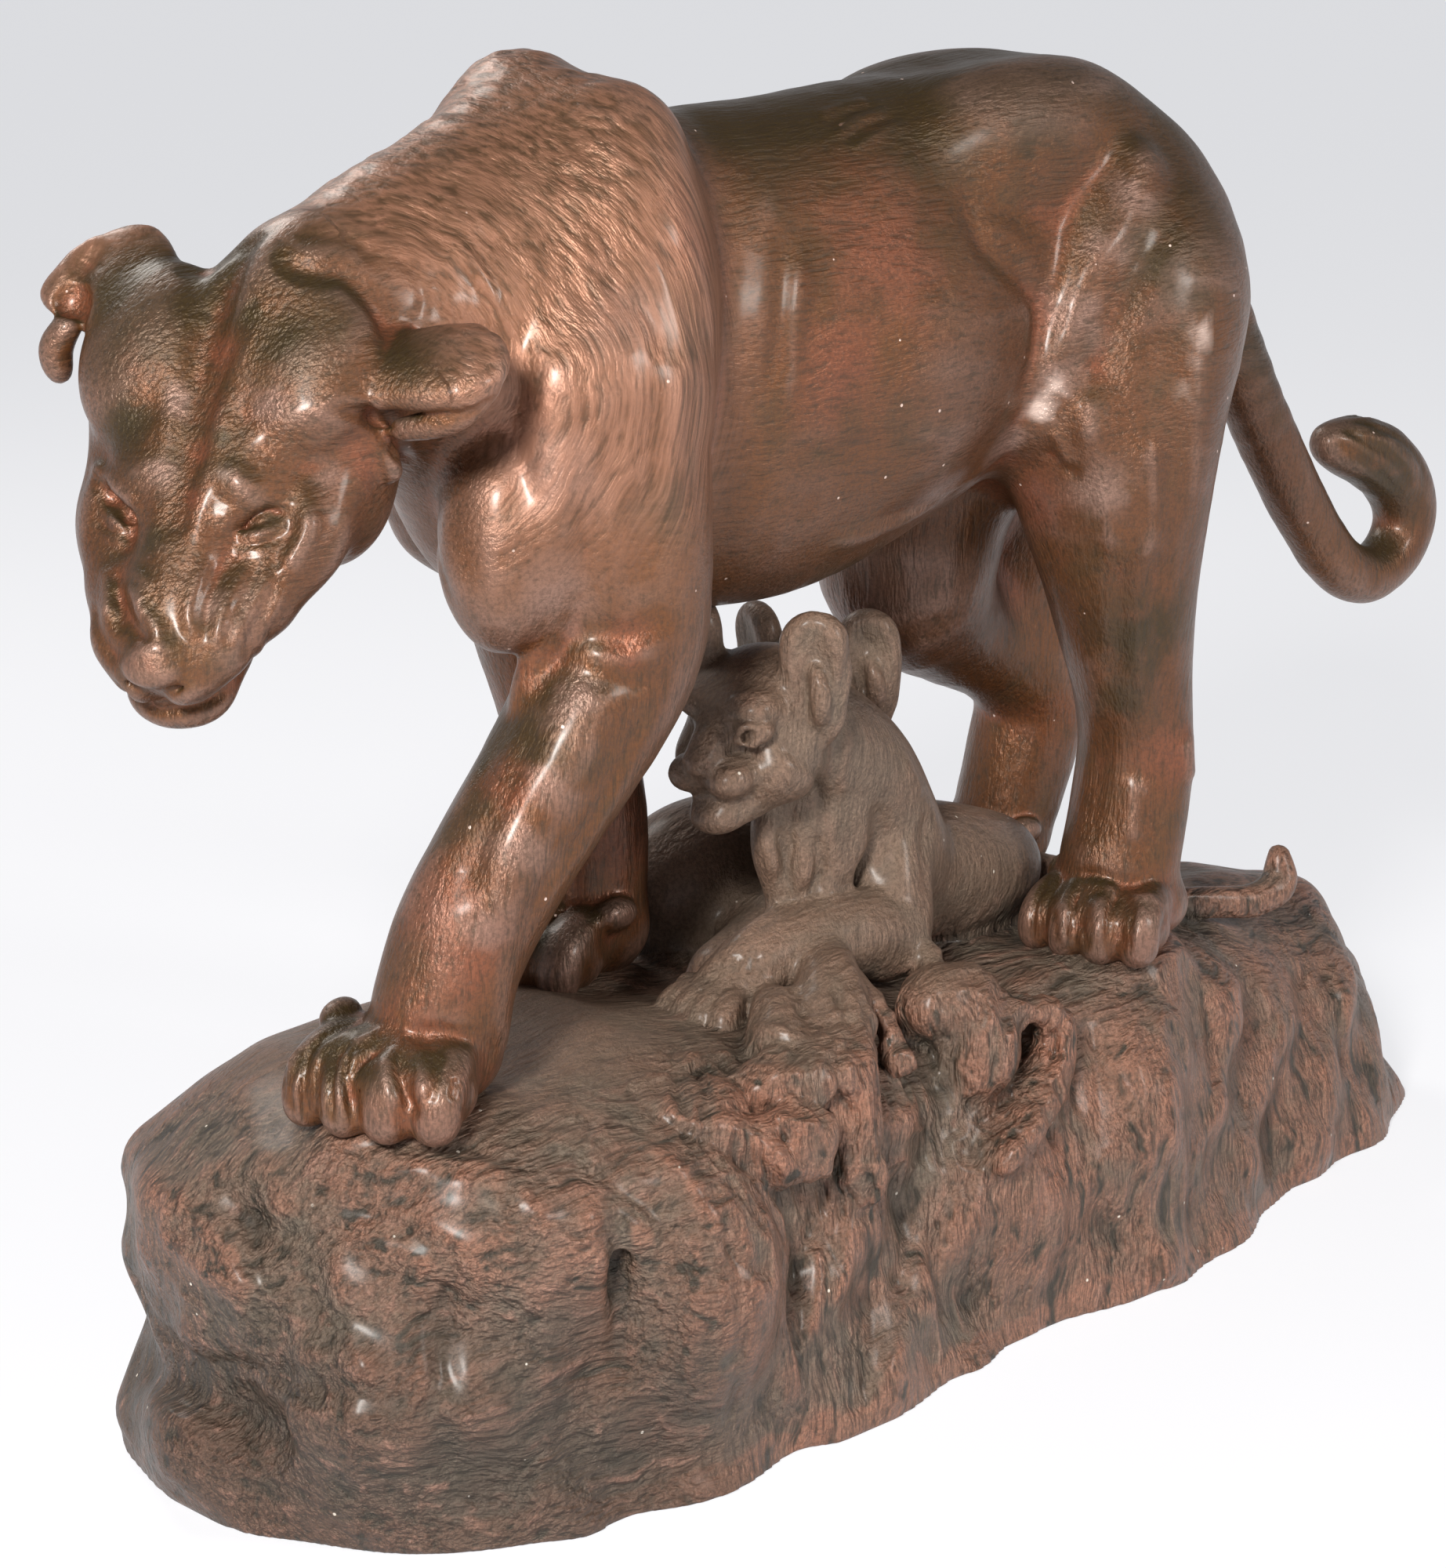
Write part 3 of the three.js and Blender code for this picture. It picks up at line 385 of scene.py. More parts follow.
for side in (-1, 1):
    # The brow, the eye between its lids, and the ridge of the cheek beside it
    clay.carve(6, Lump(place(BROW, HEAD, -2, 42 * side, -12), (17, 13, 8), HEAD))
    clay.press(3, Lump(place(BROW, HEAD, -4, 41 * side, -25), (14, 13, 12), HEAD))
    head_lump(6, -21, 26 * side, -8, 12, 11, 12)
    head_lump(4, -3, 21 * side, -13, 7, 6, 8)
    clay.press(2.5, head_line((8, 26 * side, -17, 2.5), (-4, 31 * side, -10, 3.6), (-13, 40 * side, -9, 4.2),
                              (-16, 50 * side, -15, 3.6), (-13, 56 * side, -22, 2.5)))
    clay.press(2.5, head_line((8, 26 * side, -17, 2.5), (8, 34 * side, -15, 3), (5, 43 * side, -15, 3.2),
                              (-3, 51 * side, -19, 3), (-13, 56 * side, -22, 2.5)))
    clay.press(3, head_line((15, 28 * side, -16, 2), (15, 38 * side, -16, 2.6), (11, 48 * side, -19, 2.6),
                            (3, 56 * side, -24, 2)))
    clay.press(8, head_line((-26, 58 * side, -22, 5), (-12, 61 * side, -25, 7), (4, 60 * side, -28, 7),
                            (20, 54 * side, -30, 5)))

    # The nostril, and the slit of the mouth
    clay.carve(3, head_line((100, 6 * side, -19, 1.6), (98, 11 * side, -23, 3), (91, 16 * side, -25, 2)))
    clay.carve(4, head_line((103, 0, -44, 2), (98, 14 * side, -48, 2.6), (84, 28 * side, -52, 3),
                            (64, 38 * side, -55, 2.6), (42, 46 * side, -56, 1.5)))
clay.carve(3, head_line((101, 0, -20, 1.5), (103, 0, -32, 2.4), (102, 0, -42, 2)))

ear_back = place((0, 0, 0), HEAD, -0.35, 0, 1)
model_ear(clay, place(BROW, HEAD, -97, 76, -16), place(BROW, HEAD, -110, 154, -22), ear_back, 31, 12)
model_ear(clay, place(BROW, HEAD, -126, -62, -4), place(BROW, HEAD, -156, -104, -12), ear_back, 40, 12)
clay.carve(5, Lump((-501, 82, 702), (10, 12, 20)))
clay.press(5, Chain([(-498, 86, 690, 7), (-502, 95, 675, 8), (-500, 94, 661, 6)]))
clay.press(4, head_line((-70, 88, -34, 4), (-72, 106, -30, 6), (-76, 124, -28, 7), (-84, 138, -27, 6.5),
                        (-98, 147, -26, 5.5), (-114, 148, -24, 4.5), (-126, 142, -22, 3.5)))
for tuft in range(3):
    lean = 5 * tuft
    clay.press(7, head_line((-92 + lean, 62 + lean, -30, 4), (-80 + lean, 74 + lean, -38, 6),
                            (-68 + 1.2 * lean, 84 + 0.6 * lean, -54, 5)))

# The paws are cut flat a little below the top of the rock, so that no gap shows under them
SUNK = 2
xs = clay.marks[0][:, None, None]
zs = clay.marks[2][None, None, :]
clay.field = np.maximum(clay.field, np.where(xs < 0, FRONT_TOP, REAR_TOP) - SUNK - zs).astype(np.float32)


def cast(clay, name):
    """The skin of the clay at distance zero, as one closed mesh in metres."""
    grid = openvdb.FloatGrid(EMPTY)
    grid.copyFromArray(clay.field)
    points, quads = grid.convertToQuads(isovalue=0.0)
    points = np.stack([np.interp(points[:, i], np.arange(len(m)), m) for i, m in enumerate(clay.marks)], 1)
    mesh = bpy.data.meshes.new(name)
    mesh.vertices.add(len(points))
    mesh.vertices.foreach_set("co", np.float32(points / 1000).ravel())
    mesh.loops.add(quads.size)
    mesh.loops.foreach_set("vertex_index", np.int32(quads).ravel())
    mesh.polygons.add(len(quads))
    mesh.polygons.foreach_set("loop_start", np.arange(0, quads.size, 4, dtype=np.int32))
    mesh.update(calc_edges=True)
    piece = bpy.data.objects.new(name, mesh)
    bpy.context.scene.collection.objects.link(piece)
    return piece


def skin(piece):
    """Where the skin is, in millimetres, and which way it faces."""
    count = len(piece.data.vertices)
    points = np.empty(count * 3, np.float32)
    piece.data.vertices.foreach_get("co", points)
    facing = np.empty(count * 3, np.float32)
    piece.data.vertex_normals.foreach_get("vector", facing)
    return points.reshape(-1, 3) * 1000, facing.reshape(-1, 3)


def grain(points, seed):
    """Smooth uneven values from -1 to 1 in space, the same on every run. The large numbers
    scramble the place of a corner, so that its value looks like chance."""
    cell = np.floor(points).astype(np.int64)
    part = points - cell
    part = part * part * (3 - 2 * part)
    total = 0
    for corner in np.ndindex(2, 2, 2):
        key = (cell + corner) @ np.array([73856093, 19349663, 83492791]) + seed * 265443576
        key = (key ^ (key >> 13)) * 1274126177
        value = ((key ^ (key >> 16)) & 0xFFFFF) / 0x7FFFF - 1
        total = total + value * np.prod(np.where(corner, part, 1 - part), axis=1)
    return total


def ramp(values, low, high):
    """0 below low, 1 above high, and a smooth rise between them."""
    share = np.clip((values - low) / (high - low), 0, 1)
    return share * share * (3 - 2 * share)


def keep_outer_skin(piece):
    """Small bubbles that carving left inside the metal are taken away."""
    edges = np.empty(len(piece.data.edges) * 2, np.int32)
    piece.data.edges.foreach_get("vertices", edges)
    edges = edges.reshape(-1, 2)
    shell = np.arange(len(piece.data.vertices))
    settled = False
    while not settled:
        lowest = np.minimum(shell[edges[:, 0]], shell[edges[:, 1]])
        joined = shell.copy()
        np.minimum.at(joined, edges[:, 0], lowest)
        np.minimum.at(joined, edges[:, 1], lowest)
        joined = joined[joined]
        settled = (joined == shell).all()
        shell = joined
    bubbles = np.flatnonzero(shell != np.bincount(shell).argmax())
    net = bmesh.new()
    net.from_mesh(piece.data)
    net.verts.ensure_lookup_table()
    bmesh.ops.delete(net, geom=[net.verts[i] for i in bubbles], context="VERTS")
    net.to_mesh(piece.data)
    net.free()


MOST_TRIANGLES = 190000


def finish_skin(piece, relief):
    """The relief is worked into the skin, and the mesh is thinned where it is smooth."""
    points, facing = skin(piece)
    moved = points + facing * np.asarray(relief)[:, None]
    piece.data.vertices.foreach_set("co", np.float32(moved / 1000).ravel())
    piece.data.update()
    bpy.ops.object.select_all(action="DESELECT")
    bpy.context.view_layer.objects.active = piece
    piece.select_set(True)
    fewer = piece.modifiers.new("fewer", "DECIMATE")
    fewer.ratio = min(1, MOST_TRIANGLES / (2 * len(piece.data.polygons)))
    bpy.ops.object.modifier_apply(modifier="fewer")
    keep_outer_skin(piece)
    bpy.ops.object.shade_smooth()


def mark_skin(piece, name, values):
    """A value for each point of the skin, that the material reads."""
    values = np.float32(values)
    kind = "FLOAT_VECTOR" if values.ndim == 2 else "FLOAT"
    mark = piece.data.attributes.new(name, kind, "POINT")
    mark.data.foreach_set("vector" if values.ndim == 2 else "value", values.ravel())


def hollows(piece, rounds):
    """How deep each point lies in a hollow, up to 1, and below zero on a ridge, down to -1.
    More rounds of smoothing find broader hollows. One 4 mm deep counts in full."""
    full_depth = 4
    points, facing = skin(piece)
    edges = np.empty(len(piece.data.edges) * 2, np.int32)
    piece.data.edges.foreach_get("vertices", edges)
    a = edges[::2]
    b = edges[1::2]
    near = np.bincount(a, minlength=len(points)) + np.bincount(b, minlength=len(points))
    smooth = points.astype(float)
    for _ in range(rounds):
        total = np.stack([np.bincount(a, smooth[b, i], len(points))
                          + np.bincount(b, smooth[a, i], len(points)) for i in range(3)], 1)
        smooth = 0.4 * smooth + 0.6 * total / near[:, None]
    return np.clip(((smooth - points) * facing).sum(1) / full_depth, -1, 1)


# Tufts of hair lie in arcs round the neck, back along the body and down the legs
lioness = cast(clay, "lioness_casting")
ear_root = place(BROW, HEAD, -97, 60, -16)


def coat(points):
    """Where the hair lies on the legs, on the neck and on the head, and the arcs of the neck."""
    x, y, z = points.T
    legs = ramp(-z, -600, -470)
    head = ramp(-((points - place(BROW, HEAD, -40, 0, -40)) ** 2).sum(1) ** 0.5, -165, -125)
    neck = ramp(-x, 120, 190) * ramp(z, 500, 620) * (1 - head)
    round_x = x - ear_root[0] - 20
    round_z = z - ear_root[2] + 10
    arcs = np.stack([np.arctan2(round_x, -round_z) * 160, np.hypot(round_x, round_z), y], 1)
    return legs, neck, head, arcs


def drawn(points, facing, lines):
    """How far the skin rises along drawn ridges and, below zero, sinks along drawn grooves. A
    line works on the skin at it, and hardly on skin that lies more than through below it."""
    total = np.zeros(len(points))
    through = 14
    for height, width, *spots in lines:
        along = np.array(bends(spots, count=3))
        reach = 2.5 * width + 10
        near = np.all((points > along.min(0) - reach) & (points < along.max(0) + reach), axis=1)
        most = np.zeros(near.sum())
        for i, (a, b) in enumerate(zip(along, along[1:])):
            run = b - a
            share = np.clip((points[near] - a) @ run / (run @ run), 0, 1)
            off = points[near] - a - share[:, None] * run
            deep = (off * facing[near]).sum(1)
            done = (i + share) / (len(along) - 1)
            fade = np.minimum(1, 5 * np.minimum(done, 1 - done))
            flat = (off ** 2).sum(1) - deep ** 2
            most = np.maximum(most, fade * np.exp(-flat / width ** 2 - (deep / through) ** 2))
        total[near] += height * most
    return total


# Ridges and grooves worked into the clay. Each line gives a height, a width, and places on the
# skin. First the head and the arcs of hair behind it.
HEAD_LINES = [
    (-4, 5, (-429, -85, 660), (-407, -78, 646), (-386, -65, 628), (-350, -26, 606)),
    (3, 5, (-429, -78, 651), (-413, -75, 638), (-406, -78, 623), (-394, -67, 609)),
    (-3, 5, (-541, -11, 562), (-548, -30, 549), (-552, -49, 540)),
    (2.5, 5, (-539, -19, 567), (-546, -40, 555), (-545, -53, 543)),
    (-3, 5, (-547, 5, 552), (-555, -11, 538), (-555, -28, 526)),
    (-6, 10, (-499, 82, 701), (-488, 90, 714), (-474, 92, 726)),
    (2.5, 5, (-494, 98, 712), (-480, 104, 724), (-464, 100, 732)),
    (1.6, 7, (-451, -31, 705), (-465, -30, 683), (-477, -31, 660), (-490, -36, 636), (-503, -40, 613),
     (-515, -45, 591)),
    (-2.2, 6, (-456, -23, 704), (-467, -19, 686), (-479, -20, 663), (-493, -26, 638), (-506, -31, 616),
     (-519, -39, 594), (-528, -47, 574)),
    (-4, 8, (-429, -18, 739), (-433, -30, 729), (-424, -42, 724), (-411, -49, 721), (-403, -58, 711),
     (-399, -65, 697), (-405, -79, 684)),
    (2.5, 14, (-435, -39, 717), (-420, -54, 711), (-414, -65, 701), (-417, -75, 685), (-424, -81, 671)),
    (-2.5, 8, (-458, 43, 720), (-433, 16, 733), (-430, -4, 741)),
    (2, 9, (-502, -47, 604), (-492, -48, 624), (-477, -49, 639), (-462, -64, 651), (-442, -78, 657),
     (-423, -88, 661)),
    (3, 9, (-490, -54, 618), (-488, -56, 615), (-486, -58, 613)),
    (2, 6, (-498, -51, 601), (-496, -52, 598)),
    (3, 7, (-461, -78, 604), (-466, -81, 593), (-473, -80, 582), (-480, -78, 575)),
    (-2, 4.5, (-469, -71, 603), (-472, -75, 593), (-480, -75, 582), (-487, -76, 572)),
    (2.5, 5, (-512, -52, 581), (-524, -56, 565), (-530, -59, 553), (-531, -65, 540)),
    (-2, 5, (-500, -54, 584), (-512, -59, 569), (-523, -64, 555), (-526, -69, 542)),
    (1.2, 4, (-493, -64, 579), (-505, -67, 566), (-517, -70, 553), (-524, -73, 537)),
    (-1.2, 3.5, (-490, -69, 577), (-501, -71, 564), (-513, -74, 551), (-520, -76, 535)),
    (1.2, 4, (-488, -75, 572), (-498, -76, 558), (-509, -78, 545), (-515, -78, 533)),
    (-1.2, 3.5, (-484, -78, 570), (-494, -78, 556), (-505, -79, 541), (-510, -78, 528)),
    (1.4, 4, (-480, -80, 568), (-490, -80, 552), (-497, -77, 537), (-482, -45, 512)),
    (1.6, 5, (-557, -43, 531), (-553, -49, 537), (-547, -55, 538), (-538, -60, 536), (-534, -66, 527)),
    (-3, 3.5, (-553, -21, 514), (-550, -25, 509), (-531, -23, 496), (-521, -41, 498), (-511, -50, 502),
     (-495, -51, 508)),
    (2, 5, (-555, -24, 520), (-550, -31, 512), (-531, -29, 503), (-534, -62, 511), (-523, -70, 516)),
    (-3.5, 5, (-519, 37, 613), (-519, 25, 606), (-519, 12, 599), (-523, 1, 590), (-528, -3, 580)),
    (2.5, 5, (-510, 53, 618), (-518, 30, 615), (-522, 8, 608), (-521, -2, 602)),
    (2, 4.5, (-534, -14, 573), (-539, -32, 569), (-544, -35, 559), (-550, -39, 545)),
    (-2.5, 4.5, (-537, -5, 570), (-546, -15, 558), (-551, -27, 541)),
    (2, 5, (-537, 8, 570), (-545, -8, 560), (-552, -13, 549)),
    (-3, 4.5, (-445, -77, 656), (-431, -80, 653), (-415, -76, 643), (-405, -79, 630), (-397, -76, 618)),
    (2.2, 5, (-436, -80, 660), (-423, -87, 658), (-399, -74, 644), (-362, -44, 621), (-345, -30, 605)),
    (-1.6, 4, (-413, -76, 651), (-410, -84, 643), (-387, -66, 626), (-349, -25, 605)),
    (-1.6, 5, (-423, -22, 741), (-406, -32, 742), (-393, -43, 736), (-386, -52, 727)),
    (-1.8, 5, (-390, -27, 750), (-374, -43, 742), (-363, -57, 727), (-359, -66, 710), (-359, -69, 693)),
    (-1.8, 5, (-357, -41, 750), (-336, -59, 738), (-326, -68, 721), (-322, -77, 698), (-361, -124, 686)),
    (-1.6, 5, (-380, -50, 732), (-368, -60, 720), (-366, -65, 705), (-380, -79, 694)),
    (-1.8, 5, (-326, -58, 743), (-309, -71, 723), (-306, -82, 701), (-307, -92, 676)),
    (1.4, 5, (-384, -37, 744), (-370, -51, 735), (-362, -61, 720), (-362, -67, 701)),
    (1.4, 5, (-347, -51, 744), (-333, -64, 729), (-325, -73, 709), (-323, -78, 688)),
    (1.6, 6, (-316, -64, 735), (-306, -77, 714), (-305, -87, 691), (-311, -93, 669)),
    (-2, 6, (-329, -27, 581), (-338, -38, 564), (-347, -50, 550), (-346, -61, 532)),
    (2, 7, (-345, -58, 591), (-349, -58, 572), (-350, -68, 553), (-346, -76, 534))
]

# Along the trunk: the rear edge of the belly, folds of skin, ribs, and the front of the thigh
TRUNK_LINES = [
    (-1.6, 3, (523, -10, 504), (540, -19, 492), (562, -22, 477), (590, -22, 455)),
    (-1.6, 3, (530, -12, 512), (550, -19, 500), (578, -24, 484), (604, -22, 458)),
    (-1.6, 3, (545, -10, 516), (570, -18, 507), (600, -20, 486), (622, -16, 455)),
    (-1.6, 3, (552, -2, 520), (580, -4, 512), (608, -4, 492), (632, -2, 458)),
    (-4, 11, (59, -72, 730), (64, -81, 702), (88, -84, 680), (122, -81, 654), (124, -83, 627),
     (120, -81, 594), (120, -67, 562)),
    (3, 8, (128, -62, 542), (60, -62, 531), (-14, -63, 521), (-51, -68, 524)),
    (-2, 6, (128, -61, 553), (103, -51, 540), (48, -61, 533), (-13, -71, 535)),
    (3, 9, (194, -98, 713), (163, -96, 684), (146, -93, 655), (139, -92, 636), (123, -84, 609),
     (113, -76, 586)),
    (-3, 12, (205, -109, 691), (177, -108, 659), (158, -103, 625), (148, -101, 596)),
    (4, 12, (147, -101, 590), (149, -105, 566)),
    (2.2, 5, (133, -86, 573), (144, -89, 544)),
    (-2, 5, (135, -75, 556), (149, -98, 539)),
    (1.4, 4, (-35, -37, 778), (-6, -31, 782), (19, -31, 784)),
    (1.4, 4, (-32, -49, 768), (-4, -43, 775), (25, -40, 778)),
    (1.4, 4, (-24, -56, 759), (6, -51, 767), (35, -48, 772)),
    (-1.2, 4, (-34, -44, 773), (-6, -38, 779), (22, -36, 781)),
    (-1.2, 4, (-27, -54, 763), (2, -47, 771), (30, -44, 775)),
    (2, 18, (-119, -56, 756), (-110, -69, 731), (-113, -79, 702), (-126, -86, 674), (-138, -88, 643),
     (-140, -87, 611)),
    (-2, 16, (-134, -47, 768), (-142, -68, 738), (-147, -79, 708), (-157, -87, 669), (-168, -89, 633),
     (-210, -127, 602), (-221, -133, 564)),
    (2, 10, (-92, -81, 703), (-107, -90, 663), (-115, -91, 618)),
    (-1.5, 8, (-99, -75, 717), (-114, -87, 673), (-124, -90, 628))
]

# Muscles and sinews of the near legs
LEG_LINES = [
    (3, 9, (175, -126, 565), (183, -128, 524), (186, -120, 481)),
    (-2.5, 8, (169, -114, 493), (184, -103, 437), (195, -92, 391)),
    (2.5, 10, (179, -81, 423), (195, -75, 377), (205, -71, 342)),
    (2, 12, (-346, -47, 560), (-348, -70, 537), (-334, -87, 519)),
    (3, 20, (-282, -98, 697), (-298, -112, 652), (-297, -115, 599), (-300, -109, 545)),
    (-2, 12, (-321, -79, 624), (-335, -99, 575), (-312, -96, 517)),
    (-2, 10, (-239, -115, 699), (-259, -133, 641), (-262, -134, 588), (-267, -132, 543)),
    (2.5, 8, (-303, -91, 505), (-287, -110, 502), (-272, -124, 498), (-253, -133, 507)),
    (-2.5, 8, (-284, -113, 516), (-272, -124, 510), (-256, -133, 519)),
    (-2, 7, (-297, -108, 489), (-279, -124, 485), (-249, -132, 480)),
    (3, 12, (-293, -123, 473), (-309, -122, 439), (-332, -116, 401), (-353, -113, 367), (-360, -112, 346)),
    (-2.6, 9, (-313, -96, 472), (-334, -100, 440), (-360, -95, 397), (-376, -93, 368)),
    (2, 10, (-328, -66, 441), (-366, -68, 393), (-390, -61, 350)),
    (-2, 6, (-256, -131, 475), (-275, -127, 443), (-298, -121, 404), (-327, -117, 377), (-347, -114, 348)),
    (-3, 16, (194, -125, 634), (195, -135, 564), (191, -129, 502)),
    (2.2, 9, (152, -108, 566), (158, -110, 525), (167, -108, 487)),
    (-3, 9, (192, -128, 497), (201, -119, 447), (219, -111, 390), (230, -108, 356)),
    (4.5, 11, (247, -108, 355), (253, -107, 318)),
    (2.5, 9, (212, -96, 330), (206, -102, 283)),
    (-2, 8, (196, -81, 378), (201, -72, 322), (190, -76, 281))
]

# The toes of the near front paw and of the near hind paw
TOE_LINES = [
    (3, 6, (-406, -95, 288), (-416, -106, 279), (-422, -116, 269)),
    (-2.6, 3, (-416, -91, 288), (-425, -99, 278), (-426, -107, 266), (-426, -115, 258)),
    (-1.5, 3, (-403, -107, 287), (-414, -116, 279), (-422, -121, 265)),
    (-3, 3, (-414, -82, 291), (-425, -77, 286), (-434, -74, 280), (-441, -76, 272), (-443, -80, 262),
     (-442, -84, 251)),
    (-3.6, 3, (-422, -69, 289), (-432, -66, 285), (-442, -70, 277), (-445, -77, 264), (-443, -80, 249)),
    (-3.6, 3, (-427, -62, 289), (-437, -59, 283), (-447, -64, 273), (-452, -69, 261), (-452, -71, 248)),
    (-1.2, 2.5, (-441, -49, 277), (-448, -54, 265), (-452, -63, 248)),
    (-3.6, 3.2, (-424, -40, 289), (-440, -40, 282), (-450, -44, 271), (-454, -47, 256), (-448, -47, 241)),
    (-2.4, 3, (-438, -34, 285), (-449, -36, 276), (-455, -37, 265), (-457, -39, 255), (-455, -42, 245)),
    (-1.5, 2.5, (-448, -28, 274), (-455, -31, 264), (-457, -34, 252)),
    (2.6, 5, (-414, -50, 292), (-429, -48, 286), (-438, -45, 281), (-447, -47, 272)),
    (2.6, 5, (-410, -70, 296), (-419, -66, 291), (-431, -66, 286), (-439, -67, 281)),
    (2.2, 5, (-427, -39, 288), (-438, -37, 284), (-447, -32, 277), (-453, -32, 268)),
    (-2, 5, (-405, -87, 294), (-396, -95, 296), (-387, -103, 293), (-377, -106, 288)),
    (1.5, 4, (-425, -84, 285), (-433, -96, 275), (-433, -104, 260)),
    (-1.5, 3, (-403, -122, 277), (-411, -127, 266)),
    (-1.5, 3, (-387, -117, 274), (-390, -119, 258), (-405, -128, 257)),
    (-3.6, 3, (182, -48, 258), (168, -52, 254), (156, -55, 246), (150, -58, 235), (149, -61, 224),
     (152, -61, 216)),
    (-1.6, 3, (157, -68, 247), (148, -77, 236), (145, -79, 221)),
    (-3.6, 3, (179, -79, 259), (167, -83, 252), (157, -89, 242), (152, -95, 231), (152, -99, 218)),
    (-1.5, 2.5, (158, -103, 243), (153, -104, 233), (152, -102, 219)),
    (2.2, 4, (163, -78, 252), (155, -83, 243), (151, -87, 231), (153, -87, 218)),
    (-3, 3, (196, -101, 260), (180, -107, 253), (170, -112, 245), (164, -119, 234), (163, -122, 221)),
    (2.5, 6, (174, -95, 256), (165, -106, 246), (158, -110, 233)),
    (-2.4, 3, (182, -122, 252), (172, -125, 245), (167, -127, 237), (165, -130, 225)),
    (2.2, 6, (187, -126, 252), (175, -132, 242), (171, -135, 230)),
    (-1.5, 3, (208, -122, 242), (196, -130, 235), (195, -128, 221)),
    (2.2, 5, (180, -83, 258), (185, -91, 260), (189, -100, 258)),
    (2.2, 5, (191, -108, 256), (193, -119, 257), (202, -123, 251)),
    (-2, 4, (183, -66, 261), (186, -81, 264), (190, -94, 262), (198, -104, 259), (211, -111, 259))
]

points, facing = skin(lioness)
far_side = np.array([1, -1, 1])
legs, neck, head, arcs = coat(points)
body_tufts = grain(points / (46, 13, 13), seed=1)
leg_tufts = grain(points / (12, 12, 50), seed=2)
neck_tufts = grain(arcs / (44, 9, 11), seed=3)
tufts = 0.5 * (1 - legs) * (1 - neck) * body_tufts + 0.5 * legs * leg_tufts + 1.1 * neck * neck_tufts
relief = tufts * (1 - 0.6 * head) + drawn(points, facing, HEAD_LINES + TRUNK_LINES + LEG_LINES + TOE_LINES)
relief += drawn(points * far_side, facing * far_side, TRUNK_LINES)
finish_skin(lioness, relief)
points, _ = skin(lioness)
legs, neck, head, arcs = coat(points)
mark_skin(lioness, "legs", legs)
mark_skin(lioness, "neck", neck)
mark_skin(lioness, "arcs", arcs / 1000)
mark_skin(lioness, "hollow", hollows(lioness, rounds=30))


def stain_and_light_spots(points, spots):
    """How strongly each point is marked by the nearest spot, for stains of the patina and also for painted
    highlights and painted shade. A spot gives x, y, z and its reach.
    """
    most = np.zeros(len(points))
    for *middle, reach in spots:
        most = np.maximum(most, np.exp(-((points - middle) ** 2).sum(1) / reach ** 2))
    blotches = grain(points / 16, seed=11) + 0.6 * grain(points / 6, seed=12)
    return most * ramp(blotches + 1.7 * most, 0.1, 1.3)


def on_head(*spots):
    return [(*place(BROW, HEAD, *spot[:3]), spot[3]) for spot in spots]


# Where the patina has turned red; where it is pinkish grey, worn on the ridges and with painted
# highlights where the lamps shine on the shoulder, forearm, thigh and face; where it is dark, with dark
# patina on the head, back and tail and painted shade under the belly and in the valleys of the legs;
# and where it has chalky spots
mark_skin(lioness, "red", stain_and_light_spots(points, [
    (-382, -84, 367, 34), (-377, -105, 333, 30), (-395, -80, 300, 26), (-345, -100, 430, 26),
    (-295, -75, 497, 30), (-330, -100, 640, 30), (-272, -123, 504, 18), (-23, -86, 696, 62),
    (-70, -92, 640, 40), (270, -100, 520, 42), (219, -118, 222, 44), (-410, -100, 252, 34),
    (-370, -112, 250, 30), (-130, 60, 330, 56), (-160, 50, 420, 50), (240, -100, 340, 30),
    (150, -60, 520, 30), (-206, -106, 730, 26), (160, 90, 430, 50), (300, 80, 340, 44)] + on_head(
        (-90, 4, 10, 14), (-60, 5, 8, 13), (-30, 5, 6, 11), (-5, 8, 2, 10), (84, -3, -12, 13),
        (70, 32, -55, 15), (-50, 76, -34, 20), (36, -28, -22, 14), (-100, 84, -30, 16))))
# Pale spots: painted highlights where the lamps shine on the shoulder, the forearm, the front of the thigh
# and the near side of the face
mark_skin(lioness, "pale", stain_and_light_spots(points, [
    (-312, -104, 609, 34), (-307, -97, 535, 30), (-262, -120, 690, 32), (-297, -111, 471, 22),
    (-318, -112, 430, 20), (-340, -108, 396, 20), (-362, -100, 352, 20), (196, -90, 715, 20),
    (170, -90, 680, 20), (151, -88, 644, 24), (135, -81, 605, 22), (47, -68, 542, 26),
    (110, -65, 560, 20), (160, -104, 530, 22), (-390, -112, 262, 14), (-380, -118, 240, 12)] + on_head(
        (50, 30, -25, 22), (30, 44, -36, 18), (-10, 62, -35, 16), (-60, 40, 18, 18), (-20, -14, 4, 12),
        (-60, -14, 8, 12), (-40, 66, -26, 14))))
